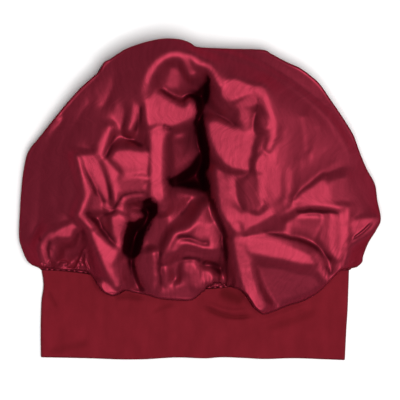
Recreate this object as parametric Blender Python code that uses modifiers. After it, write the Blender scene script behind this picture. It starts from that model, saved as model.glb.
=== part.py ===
"""A satin sleep bonnet with a wide knitted band, lying flat as it does on a table.

The bonnet is two sewn pieces. The band is a flattened tube of doubled jersey, open at
both ends. The crown is a thin-walled bag of satin gathered into the band's upper edge:
its under side lies flat, and its upper side has slumped into deep folds, some of which
hang forward over the band. Both pieces are hollow, and the head goes in at the hem.

Metres, +Z up, the table at z = 0 and the hem towards -Y. Places across the table are
charted in the pixels of a 400 x 400 photograph taken from above, x to the right and y
down, and every chart point passes through plan(). Heights in the tables are millimetres.
"""

import math
from typing import NamedTuple

import bmesh
import bpy
import numpy as np

# Driving dimensions.
BAND_FLAT_WIDTH = 0.280
BAND_WALL = 0.002
BAND_SIDE_RADIUS = 0.0035
BAND_RISE_AT_HEM = 0.007
BAND_RISE_AT_SEAM = 0.009
CROWN_WALL = 0.0015
CROWN_SIDE_HEIGHT = 0.012
SEAM_GAP = 0.0004
SEAM_SAG = 19.0  # chart pixels

# The chart: the band's width at the hem, and the middle of the whole outline.
CHART_BAND_WIDTH = 304.0
CHART_MIDDLE = (199.8, 199.5)
METRES_PER_PIXEL = BAND_FLAT_WIDTH / CHART_BAND_WIDTH
MILLIMETRE = 0.001

# How finely the cloth is divided.
CROWN_COLUMNS = 52
CROWN_BACK_ROWS = 30
CROWN_OVERHANG_ROWS = 4
BAND_ROWS = 6
BAND_COLUMNS = 26
CROWN_COLUMN_CROWDING = 0.35  # how far rows and columns crowd towards the edges
CROWN_ROW_CROWDING = 0.45
BAND_COLUMN_CROWDING = 0.75
RELAX_STEPS = (16, 8, 4, 2)  # chart pixels between heights, from rough to fine
RELAX_PASSES = 120
CLOTH_LIFT = 0.006  # how far the air in the cloth lifts it, mm per square pixel
RIDGE_SOFTENING = 9

# The crown's puffed rim.
EDGE_HEIGHT = 25.0  # mm, just inside the side and back outline
EDGE_ROLL = 0.013
SIDE_GROWTH = 0.030  # how far from the seam the side reaches its full height
FRONT_RISE = 0.010  # the front edge stands this far over the band
FRONT_ROLL = 0.012
CORNER_SHARE = 0.05  # the overhang starts this far in from each end of the seam
SEAM_TURNS = ((0.0030, 0.0006), (0.0034, 0.0032), (0.0010, 0.0050))  # back, up
GATHER_COUNT = 22
GATHER_DEPTH = 0.0011
GATHER_START = 0.006  # the pleats swell over this much cloth from the seam
GATHER_REACH = 0.022
GATHER_END_SHARE = 0.06


class Fold(NamedTuple):
    """One ridge or valley: a curve through three chart points, each with its height."""

    name: str
    start: tuple  # x, y, height in mm
    middle: tuple
    end: tuple


FOLDS = (
    # The great arch over the upper hollow, and the ledge that joins it to the loop.
    Fold("arch_left", (143, 97, 70), (147, 76, 78), (160, 60, 82)),
    Fold("arch_top", (160, 60, 82), (178, 53, 85), (203, 63, 86)),
    Fold("arch_right", (203, 63, 86), (215, 75, 86), (226, 91, 84)),
    Fold("ledge", (226, 91, 84), (242, 92, 85), (258, 90, 88)),
    Fold("loop_outer", (258, 90, 88), (268, 112, 89), (273, 132, 88)),
    Fold("loop_lower", (273, 132, 88), (265, 160, 85), (263, 186, 79)),
    Fold("loop_foot", (263, 186, 79), (267, 204, 73), (279, 213, 67)),
    # Hollows under the arch and inside the loop.
    Fold("upper_hollow", (154, 86, 60), (175, 88, 50), (207, 86, 36)),
    Fold("shelf_crease", (165, 98, 50), (180, 101, 44), (193, 98, 36)),
    Fold("shelf", (147, 104, 62), (170, 112, 62), (190, 111, 56)),
    Fold("shelf_lip", (158, 122, 62), (172, 126, 58), (190, 118, 52)),
    Fold("loop_pocket", (244, 110, 64), (250, 124, 60), (255, 138, 62)),
    Fold("slant_hollow", (206, 107, 40), (220, 116, 46), (237, 129, 54)),
    Fold("slant_plate", (210, 126, 52), (228, 144, 64), (243, 160, 60)),
    # The deep channel between the left and right groups, and the pit beside it.
    Fold("channel_top", (203, 97, 32), (203, 130, 24), (207, 160, 22)),
    Fold("channel_low", (209, 185, 22), (213, 215, 22), (222, 236, 24)),
    Fold("channel_foot", (222, 236, 24), (229, 256, 26), (233, 274, 27)),
    Fold("pit", (172, 180, 24), (188, 177, 20), (203, 170, 20)),
    Fold("pit_wall", (168, 142, 42), (180, 142, 36), (194, 140, 30)),
    # The puff at the lower right.
    Fold("plate_edge", (219, 180, 56), (219, 202, 58), (226, 220, 60)),
    Fold("plate_middle", (243, 180, 56), (242, 196, 54), (242, 208, 57)),
    Fold("puff_corner", (226, 220, 60), (236, 229, 58), (244, 232, 58)),
    Fold("puff_top_left", (244, 232, 58), (262, 224, 61), (279, 213, 67)),
    Fold("puff_top", (279, 213, 67), (312, 205, 66), (345, 209, 58)),
    Fold("puff_right", (347, 212, 58), (347, 236, 54), (341, 258, 46)),
    Fold("puff_valley", (268, 232, 52), (300, 240, 46), (334, 258, 40)),
    Fold("puff_second_ridge", (246, 235, 58), (283, 242, 57), (313, 259, 50)),
    Fold("puff_left_ridge", (240, 238, 56), (244, 268, 53), (258, 304, 38)),
    # The left group: the flap, its plates, the tube fold and the lower hollow.
    Fold("flap_edge", (79, 157, 60), (86, 180, 60), (82, 212, 57)),
    Fold("flap_plate", (92, 160, 59), (99, 178, 59), (107, 196, 53)),
    Fold("flap_crease", (86, 166, 56), (95, 186, 50), (109, 208, 46)),
    Fold("under_flap", (73, 158, 46), (78, 186, 47), (74, 212, 46)),
    Fold("plate_left", (113, 160, 60), (130, 158, 62), (146, 156, 60)),
    Fold("small_hollow", (121, 139, 47), (134, 143, 42), (145, 146, 48)),
    Fold("tube_top", (156, 128, 65), (157, 150, 68), (157, 172, 68)),
    Fold("tube_low", (157, 172, 68), (158, 192, 64), (160, 205, 57)),
    Fold("hollow_rim", (124, 204, 54), (138, 194, 58), (153, 197, 59)),
    Fold("lower_hollow", (146, 212, 26), (136, 230, 20), (132, 252, 22)),
    Fold("crest", (80, 213, 57), (100, 235, 54), (118, 248, 47)),
    Fold("crest_valley", (93, 220, 46), (104, 231, 42), (113, 240, 40)),
    Fold("hanging_fold", (91, 232, 54), (103, 258, 51), (112, 284, 41)),
    Fold("rib_left", (97, 154, 60), (104, 140, 60), (110, 128, 59)),
    Fold("rib_right", (131, 131, 60), (135, 116, 65), (139, 104, 70)),
    Fold("seam_puff", (47, 258, 32), (47, 238, 40), (66, 225, 45)),
    # The middle folds that hang over the seam.
    Fold("middle_gap", (129, 262, 28), (137, 281, 27), (143, 290, 26)),
    Fold("middle_fold", (161, 212, 54), (147, 244, 52), (147, 284, 38)),
    Fold("middle_groove", (174, 228, 44), (162, 250, 41), (163, 280, 36)),
    Fold("lip_ridge", (206, 206, 46), (190, 229, 55), (166, 249, 53)),
    Fold("lip_plate", (210, 216, 50), (211, 228, 53), (212, 240, 50)),
    Fold("lip_slit", (182, 246, 52), (197, 247, 53), (216, 249, 48)),
    Fold("lip_hollow", (172, 258, 41), (192, 258, 38), (214, 266, 29)),
    Fold("lower_lobe", (176, 270, 42), (192, 270, 44), (211, 278, 38)),
    # The wide flank to the right, whose edge stands over the flat back part.
    Fold("back_edge_top", (196, 51, 52), (225, 61, 54), (256, 75, 55)),
    Fold("back_edge_side", (256, 75, 55), (296, 97, 56), (330, 130, 52)),
    Fold("back_edge_low", (330, 130, 52), (341, 148, 47), (352, 172, 40)),
    Fold("back_valley_top", (203, 50, 23), (232, 53, 22), (260, 62, 22)),
    Fold("back_valley_side", (260, 62, 22), (302, 85, 22), (333, 115, 22)),
    Fold("back_valley_low", (333, 115, 22), (346, 134, 23), (355, 148, 24)),
    Fold("flank_crease", (293, 202, 57), (315, 184, 55), (345, 165, 46)),
    Fold("flank_rib", (301, 124, 71), (302, 140, 71), (303, 152, 69)),
    Fold("side_facet", (352, 238, 34), (364, 228, 30), (374, 219, 25)),
    # The crease between the left lobe and the main puff.
    Fold("lobe_crease", (98, 78, 28), (95, 105, 42), (83, 137, 48)),
    Fold("left_shoulder", (108, 75, 40), (118, 100, 54), (116, 122, 58)),
)

# The crown's outline, anticlockwise in three stretches, in chart pixels.
LEFT_OUTLINE = (
    (32, 264.5), (25, 253), (19.5, 238), (19.8, 215), (22, 187),
    (24.5, 165), (29, 151), (45, 132), (63, 108), (80, 89),
)
BACK_OUTLINE = (
    (80, 89), (92, 78), (99, 72), (104, 63), (112, 58.5), (126, 49.5), (144, 42.5),
    (166, 39), (184, 40.5), (199, 47), (230, 49), (262, 50), (283, 60.5), (301, 69),
    (318, 83), (331, 101),
)  # fmt: skip
RIGHT_OUTLINE = (
    (357, 265.5), (362, 259), (366, 246), (375, 231), (380.5, 219), (377, 200),
    (375, 185), (366, 167), (356, 140), (344, 119), (331, 101),
)  # fmt: skip
# Where the crown's front folds end, over the band, from left to right.
FRONT_EDGE = (
    (32, 264.5), (42, 267), (56, 270), (80, 273), (92, 279), (101, 290), (112, 295),
    (123, 291), (135, 293), (148, 296), (175, 301), (195, 299), (212, 287), (230, 290),
    (245, 295), (255, 307), (266, 312), (285, 308), (305, 300), (325, 286), (338, 273),
    (347, 268), (357, 265.5),
)  # fmt: skip
SEAM_ENDS = ((41.5, 269), (349, 269))
HEM = ((41, 357), (95, 359), (150, 360), (200, 358), (255, 358.5), (344.8, 360))
BAND_LEFT = ((41, 357), (41, 320), (42.2, 298), (42.5, 284), (41.5, 269))
BAND_RIGHT = ((344.8, 360), (346.5, 320), (348, 292), (349, 269))


def plan(chart):
    """Chart pixels to metres across the table."""
    chart = np.asarray(chart, float)
    across = chart[..., 0] - CHART_MIDDLE[0]
    up = CHART_MIDDLE[1] - chart[..., 1]
    return np.stack([across, up], axis=-1) * METRES_PER_PIXEL


def smooth_path(points, count):
    """A smooth curve through the points, as count points evenly spaced along it."""
    points = np.asarray(points, float)
    padded = np.vstack([2 * points[0] - points[1], points, 2 * points[-1] - points[-2]])
    steps = np.linspace(0, 1, 12, endpoint=False)[:, None]
    pieces = []
    for before, start, end, after in zip(padded, padded[1:], padded[2:], padded[3:]):
        tangent_in = (end - before) / 2
        tangent_out = (after - start) / 2
        pieces.append(
            (2 * steps**3 - 3 * steps**2 + 1) * start
            + (steps**3 - 2 * steps**2 + steps) * tangent_in
            + (3 * steps**2 - 2 * steps**3) * end
            + (steps**3 - steps**2) * tangent_out
        )
    path = np.vstack([*pieces, points[-1:]])
    lengths = np.linalg.norm(np.diff(path[:, :2], axis=0), axis=1)
    travelled = np.concatenate([[0], np.cumsum(lengths)])
    even = np.linspace(0, travelled[-1], count)
    return np.stack([np.interp(even, travelled, column) for column in path.T], axis=-1)


def fold_line(fold, count=60):
    """The points of a fold, each with its height in mm."""
    share = np.linspace(0, 1, count)[:, None]
    start, middle, end = (np.array(p, float) for p in (fold.start, fold.middle, fold.end))
    return (
        start * (2 * share - 1) * (share - 1)
        + middle * 4 * share * (1 - share)
        + end * share * (2 * share - 1)
    )


def seam_path(count):
    """The seam between band and crown on the chart: level at its ends, sagging between."""
    share = np.linspace(0, 1, count)
    (left, level), (right, _) = SEAM_ENDS
    return np.stack(
        [left + (right - left) * share, level + SEAM_SAG * np.sin(np.pi * share) ** 2],
        axis=-1,
    )


def distance_to(points, path):
    """How far each point lies from a path, both in metres across the table."""
    nearest = np.full(points.shape[:-1], np.inf)
    for start, end in zip(path, path[1:]):
        along = end - start
        length = along @ along
        if length == 0:
            continue
        share = np.clip((points - start) @ along / length, 0, 1)
        offset = points - start - share[..., None] * along
        nearest = np.minimum(nearest, np.linalg.norm(offset, axis=-1))
    return nearest


def quarter_round(share):
    """0 at the edge to 1 where the roll ends, upright at the edge and level inside."""
    return np.sqrt(1 - (1 - np.clip(share, 0, 1)) ** 2)


def smooth_step(share):
    """0 to 1 with level ends."""
    share = np.clip(share, 0, 1)
    return share * share * (3 - 2 * share)


def crown_edge(count=160):
    """The whole side and back outline of the crown on the chart, left end to right end."""
    left = smooth_path(LEFT_OUTLINE, count)
    back = smooth_path(BACK_OUTLINE, count)
    right = smooth_path(RIGHT_OUTLINE, count)[::-1]
    return np.vstack([left, back[1:], right[1:]])


class ClothHeights:
    """Heights over the chart: cloth stretched and a little blown out between its folds."""

    left, top, width, height = 0, 16, 400, 320  # the charted area, in pixels

    def __init__(self):
        rim = crown_edge()
        front = smooth_path(FRONT_EDGE, 200)
        self.lines = [fold_line(fold) for fold in FOLDS]
        for path in (rim, front):
            self.lines.append(np.column_stack([path, np.full(len(path), EDGE_HEIGHT)]))
        self.field = None
        for step in RELAX_STEPS:
            self.relax(step)

    def pinned(self, step, shape):
        """The heights that the folds fix at this step, and where they are."""
        points = np.vstack(self.lines)
        row = np.clip(np.rint((points[:, 1] - self.top) / step), 0, shape[0] - 1)
        column = np.clip(np.rint((points[:, 0] - self.left) / step), 0, shape[1] - 1)
        cell = (row * shape[1] + column).astype(int)
        count = np.bincount(cell, minlength=shape[0] * shape[1])
        total = np.bincount(cell, points[:, 2], minlength=shape[0] * shape[1])
        fixed = count > 0
        heights = np.where(fixed, total / np.maximum(count, 1), 0)
        return heights.reshape(shape), fixed.reshape(shape)

    def relax(self, step):
        """Settles the cloth at one step, starting from the rougher one before it."""
        shape = (self.height // step + 1, self.width // step + 1)
        heights, fixed = self.pinned(step, shape)
        if self.field is None:
            field = np.full(shape, EDGE_HEIGHT)
        else:
            field = np.repeat(np.repeat(self.field, 2, axis=0), 2, axis=1)
            field = field[: shape[0], : shape[1]]
        for _ in range(RELAX_PASSES):
            padded = np.pad(field, 1, mode="edge")
            around = padded[:-2, 1:-1] + padded[2:, 1:-1] + padded[1:-1, :-2] + padded[1:-1, 2:]
            field = np.where(fixed, heights, around / 4 + CLOTH_LIFT * step * step)
        self.step = step
        self.field = field

    def soften(self, passes):
        """Rounds the ridges and valleys."""
        for _ in range(passes):
            padded = np.pad(self.field, 1, mode="edge")
            across = padded[:, :-2] + 2 * padded[:, 1:-1] + padded[:, 2:]
            self.field = (across[:-2] + 2 * across[1:-1] + across[2:]) / 16

    def at(self, chart):
        """The height in metres at each chart point."""
        row = np.clip((chart[..., 1] - self.top) / self.step, 0, self.field.shape[0] - 1.001)
        column = np.clip((chart[..., 0] - self.left) / self.step, 0, self.field.shape[1] - 1.001)
        y, x = row.astype(int), column.astype(int)
        v, u = row - y, column - x
        upper = self.field[y, x] * (1 - u) + self.field[y, x + 1] * u
        lower = self.field[y + 1, x] * (1 - u) + self.field[y + 1, x + 1] * u
        return (upper * (1 - v) + lower * v) * MILLIMETRE


def even_at_edges(count, tighter):
    """Shares from 0 to 1 that crowd towards both ends by the given amount."""
    share = np.linspace(0, 1, count)
    return share * (1 - tighter) + tighter * (0.5 - 0.5 * np.cos(np.pi * share))


def travelled(path):
    """The length of the path up to each of its points."""
    lengths = np.linalg.norm(np.diff(path, axis=0), axis=1)
    return np.concatenate([[0], np.cumsum(lengths)])


def resample(path, shares):
    """Points of a path at shares of its length."""
    along = travelled(path)
    return np.stack([np.interp(shares * along[-1], along, c) for c in path.T], axis=-1)


def spanned(front, back, left, right, across, along):
    """A grid of points between four edges, rows from front to back (a Coons patch)."""
    across, along = across[None, :, None], along[:, None, None]
    corners = (
        (1 - along) * ((1 - across) * front[0] + across * front[-1])
        + along * ((1 - across) * back[0] + across * back[-1])
    )  # fmt: skip
    lengthwise = (1 - along) * front[None] + along * back[None]
    crosswise = (1 - across) * left[:, None] + across * right[:, None]
    return lengthwise + crosswise - corners


def distance_from_ends(row):
    """How far each point of a row lies from the nearer end, across the table."""
    ends = row[[0, -1], None, :2]
    return np.linalg.norm(row[:, :2] - ends, axis=-1).min(axis=0)


def tube_heights(shares, row, rise):
    """Outer heights of the flattened tube along a row, upper and lower layer."""
    rolled = quarter_round(distance_from_ends(row) / BAND_SIDE_RADIUS)
    upper = BAND_SIDE_RADIUS * (1 + rolled) + rise * np.sin(np.pi * shares) ** 2
    return upper, BAND_SIDE_RADIUS * (1 - rolled)


def side_height(place):
    """The height of the crown's widest line at each row: low at the seam, then full."""
    share = smooth_step(travelled(place[:, 0, :2]) / SIDE_GROWTH)
    return BAND_SIDE_RADIUS + (CROWN_SIDE_HEIGHT - BAND_SIDE_RADIUS) * share[:, None]


def crown_upper(shares, back_shares):
    """The crown's upper sheet: seam, roll over the seam, overhang, then folds to the back."""
    seam = plan(resample(seam_path(400), shares))
    seam_height, _ = tube_heights(shares, seam, BAND_RISE_AT_SEAM)
    front_path = smooth_path(FRONT_EDGE, 400)
    front_x = np.interp(shares, (0, 1), (FRONT_EDGE[0][0], FRONT_EDGE[-1][0]))
    front_y = np.interp(front_x, front_path[:, 0], front_path[:, 1])
    front = np.column_stack([front_x, front_y])
    chart = spanned(
        front,
        resample(smooth_path(BACK_OUTLINE, 400), shares),
        resample(smooth_path(LEFT_OUTLINE, 400), back_shares),
        resample(smooth_path(RIGHT_OUTLINE, 400), back_shares),
        shares,
        back_shares,
    )
    front_height = seam_height + FRONT_RISE
    under = overhang(shares, seam, seam_height, plan(front), front_height)

    cloth = ClothHeights()
    cloth.soften(RIDGE_SOFTENING)
    place = plan(chart)
    front_distance = distance_to(place, plan(front_path))
    fade = 1 - smooth_step(front_distance / FRONT_ROLL / 3)
    base = CROWN_SIDE_HEIGHT + (front_height - CROWN_SIDE_HEIGHT) * fade
    heights = base + (cloth.at(chart) - base) * quarter_round(front_distance / FRONT_ROLL)
    folds = np.concatenate([place, heights[..., None]], axis=-1)

    sheet = np.concatenate([under, folds])
    edge = np.vstack([sheet[:, 0, :2], sheet[-1, :, :2], sheet[::-1, -1, :2]])
    low = side_height(sheet)
    radius = low * EDGE_ROLL / CROWN_SIDE_HEIGHT
    rolled = quarter_round(distance_to(sheet[..., :2], edge) / radius)
    sheet[..., 2] = low + (sheet[..., 2] - low) * rolled
    return gathered(sheet, shares)


def overhang(shares, seam, seam_height, front, front_height):
    """Rows from the seam to just under the front edge: out of the seam, up, and forward."""
    window = smooth_step(np.minimum(shares, 1 - shares) / CORNER_SHARE)
    total = len(SEAM_TURNS) + CROWN_OVERHANG_ROWS
    rows = [np.column_stack([seam, seam_height])]
    for count, (inward, lift) in enumerate(SEAM_TURNS, start=1):
        place = seam + (front - seam) * (count / total * (1 - window))[:, None]
        place[:, 1] += inward * window
        rows.append(np.column_stack([place, seam_height + lift * window]))
    start, low = rows[-1][:, :2], rows[-1][:, 2]
    for count in range(1, CROWN_OVERHANG_ROWS):
        share = count / CROWN_OVERHANG_ROWS
        place = start + (front - start) * share
        climb = 1 - math.sqrt(1 - share * share)
        rows.append(np.column_stack([place, low + (front_height - low) * climb]))
    return np.array(rows)


def gathered(sheet, shares):
    """Small pleats that run out of the seam and die away into the puff."""
    steps = np.linalg.norm(np.diff(sheet, axis=0), axis=-1)
    from_seam = np.concatenate([np.zeros((1, len(shares))), np.cumsum(steps, axis=0)])
    normal = sheet_normals(sheet)
    window = smooth_step(np.minimum(shares, 1 - shares) / GATHER_END_SHARE)
    start = smooth_step(from_seam / GATHER_START)
    fade = start * np.exp(-from_seam / GATHER_REACH) * window
    pleat = np.cos(2 * np.pi * GATHER_COUNT * shares) * GATHER_DEPTH
    return sheet + normal * (fade * pleat)[..., None]


def sheet_normals(sheet):
    """Outward directions over a grid of points."""
    lengthwise = np.gradient(sheet, axis=0)
    crosswise = np.gradient(sheet, axis=1)
    normal = np.cross(crosswise, lengthwise)
    return normal / np.maximum(np.linalg.norm(normal, axis=-1, keepdims=True), 1e-9)


def crown_lower(shares, upper):
    """The crown's under side: flat on the table, rolling up to meet the upper sheet."""
    left, right, back = upper[:, 0, :2], upper[:, -1, :2], upper[-1, :, :2]
    along = travelled(left) / travelled(left)[-1]
    place = spanned(upper[0, :, :2], back, left, right, shares, along)
    distance = distance_to(place, np.vstack([left, back[1:], right[::-1][1:]]))
    low = side_height(upper)
    heights = low * (1 - quarter_round(distance / low))
    return np.concatenate([place, heights[..., None]], axis=-1)


def add_sheet(mesh, points, flip):
    """A grid primitive laid over a table of points, rows from front to back."""
    rows, columns = points.shape[0] - 1, points.shape[1] - 1
    made = bmesh.ops.create_grid(mesh, x_segments=columns, y_segments=rows, size=0.5)
    for vertex in made["verts"]:
        column = round((vertex.co.x + 0.5) * columns)
        row = round((vertex.co.y + 0.5) * rows)
        if flip:
            column = columns - column
        vertex.co = points[row, column]


def finished(name, mesh, collection, material, wall):
    """Welds the sheets, gives the cloth its thickness inwards, and links the object."""
    bmesh.ops.remove_doubles(mesh, verts=mesh.verts, dist=0.00001)
    data = bpy.data.meshes.new(name)
    mesh.to_mesh(data)
    mesh.free()
    data.materials.append(material)
    data.shade_smooth()
    piece = bpy.data.objects.new(name, data)
    thickness = piece.modifiers.new("cloth_thickness", "SOLIDIFY")
    thickness.thickness = wall
    thickness.offset = -1
    collection.objects.link(piece)
    return piece


def build_band(collection, material):
    """The band: a flattened tube of doubled jersey, open at the hem and at the seam."""
    shares = even_at_edges(BAND_COLUMNS + 1, BAND_COLUMN_CROWDING)
    along = np.linspace(0, 1, BAND_ROWS + 1)
    place = plan(
        spanned(
            resample(smooth_path(HEM, 200), shares),
            resample(seam_path(400), shares),
            resample(smooth_path(BAND_LEFT, 200), along),
            resample(smooth_path(BAND_RIGHT, 200), along),
            shares,
            along,
        )
    )
    place[-1, :, 1] -= SEAM_GAP
    rises = BAND_RISE_AT_HEM + (BAND_RISE_AT_SEAM - BAND_RISE_AT_HEM) * along
    heights = [tube_heights(shares, row, rise) for row, rise in zip(place, rises)]
    upper, lower = (np.array(layer)[..., None] for layer in zip(*heights))
    mesh = bmesh.new()
    add_sheet(mesh, np.concatenate([place, upper], axis=-1), flip=False)
    add_sheet(mesh, np.concatenate([place, lower], axis=-1), flip=True)
    return finished("band", mesh, collection, material, BAND_WALL)


def build_crown(collection, material):
    """The crown: a bag of satin, gathered to the band and slumped into folds."""
    shares = even_at_edges(CROWN_COLUMNS + 1, CROWN_COLUMN_CROWDING)
    back_shares = even_at_edges(CROWN_BACK_ROWS + 1, CROWN_ROW_CROWDING)
    upper = crown_upper(shares, back_shares)
    lower = crown_lower(shares, upper)
    mesh = bmesh.new()
    add_sheet(mesh, upper, flip=False)
    add_sheet(mesh, lower, flip=True)
    return finished("crown", mesh, collection, material, CROWN_WALL)


def cloth_material(name, colour, roughness):
    """A plain woven or knitted finish."""
    material = bpy.data.materials.new(name)
    material.use_nodes = True
    shader = material.node_tree.nodes["Principled BSDF"]
    shader.inputs["Base Color"].default_value = (*colour, 1)
    shader.inputs["Roughness"].default_value = roughness
    shader.inputs["Metallic"].default_value = 0
    return material


def main():
    """Clears the scene and builds the bonnet in a collection of its own."""
    for existing in list(bpy.data.objects):
        bpy.data.objects.remove(existing)
    collection = bpy.data.collections.new("sleep_bonnet")
    bpy.context.scene.collection.children.link(collection)
    satin = cloth_material("satin", colour=(0.30, 0.020, 0.045), roughness=0.30)
    jersey = cloth_material("jersey", colour=(0.20, 0.010, 0.020), roughness=0.90)
    build_band(collection, jersey)
    build_crown(collection, satin)


main()
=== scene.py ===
"""Dresses the sleep bonnet: satin crown in its own folds, jersey band and gathered seam."""

from __future__ import annotations

import logging
import math
from collections.abc import Callable, Iterator
from dataclasses import dataclass, field
from enum import Enum
from typing import NamedTuple

import bpy
import numpy as np
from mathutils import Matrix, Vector

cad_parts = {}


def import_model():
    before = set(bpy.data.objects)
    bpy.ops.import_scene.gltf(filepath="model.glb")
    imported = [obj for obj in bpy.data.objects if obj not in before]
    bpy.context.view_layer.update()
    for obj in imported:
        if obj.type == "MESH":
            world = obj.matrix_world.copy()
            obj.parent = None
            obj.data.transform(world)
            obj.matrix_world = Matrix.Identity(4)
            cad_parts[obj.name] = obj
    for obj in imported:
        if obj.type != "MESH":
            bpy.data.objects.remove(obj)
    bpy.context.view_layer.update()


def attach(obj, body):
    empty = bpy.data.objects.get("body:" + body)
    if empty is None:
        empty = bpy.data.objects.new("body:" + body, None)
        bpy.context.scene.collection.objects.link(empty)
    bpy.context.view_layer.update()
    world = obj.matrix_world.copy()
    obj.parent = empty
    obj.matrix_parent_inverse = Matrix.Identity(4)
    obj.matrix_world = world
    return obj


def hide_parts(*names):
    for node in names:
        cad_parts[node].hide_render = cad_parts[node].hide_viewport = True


LOG = logging.getLogger("sleep_bonnet")

# Driving sizes, as the part has them.
BAND_FLAT_WIDTH = 0.280
CHART_BAND_WIDTH = 304.0
CHART_MIDDLE = (199.8, 199.5)
METRES_PER_PIXEL = BAND_FLAT_WIDTH / CHART_BAND_WIDTH
MILLIMETRE = 0.001
PIXEL_IN_MM = METRES_PER_PIXEL / MILLIMETRE
BAND_SIDE_RADIUS = 0.0035
BAND_RISE_AT_HEM = 0.007
BAND_RISE_AT_SEAM = 0.009
SEAM_SAG = 19.0
SEAM_ENDS = ((41.5, 269), (349, 269))

# How finely curves and creases are followed.
STEPS_BETWEEN_KNOTS = 12
SEAM_POINTS = 400
CREASE_POINTS = 40
CREASE_REACH = 3  # half widths past which a crease isn't followed
CREASE_TAPER = 4  # it is at full height almost a quarter of the way along
CREASE_END = 0.1  # how far up that ramp it starts
TINY = 1e-9  # keeps a length that is divided by above nothing

Array = np.ndarray


class Slot(Enum):
    """The record's material slots."""

    SATIN = "satin"
    JERSEY = "jersey"


class Hold(Enum):
    """How a sheet of cloth lies."""

    GATHERED = "gathered"
    FOLDED = "folded"


class Fold(NamedTuple):
    """A ridge or valley in the satin, through chart points with heights in millimetres."""

    name: str
    points: tuple[tuple[float, float, float], ...]
    half_width: float = 0.0  # chart pixels that stay level to either side


class Facet(NamedTuple):
    """A stretch of satin that lies nearly flat between creases."""

    name: str
    outline: tuple[tuple[float, float], ...]
    height: float  # mm, at the middle
    rise_right: float = 0.0  # mm per chart pixel
    rise_down: float = 0.0
    crown: float = 0.0  # how far the middle swells above the edges, mm


class Crease(NamedTuple):
    """A fine crease pressed into or out of the cloth along chart points."""

    name: str
    points: tuple[tuple[float, float], ...]
    height: float  # mm, below zero for a groove
    half_width: float  # chart pixels


class Lamp(NamedTuple):
    """A square soft light aimed at the bonnet."""

    name: str
    place: tuple[float, float, float]
    size: float  # metres along each side
    brightness: float  # how bright it lights a white card that faces it


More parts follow.
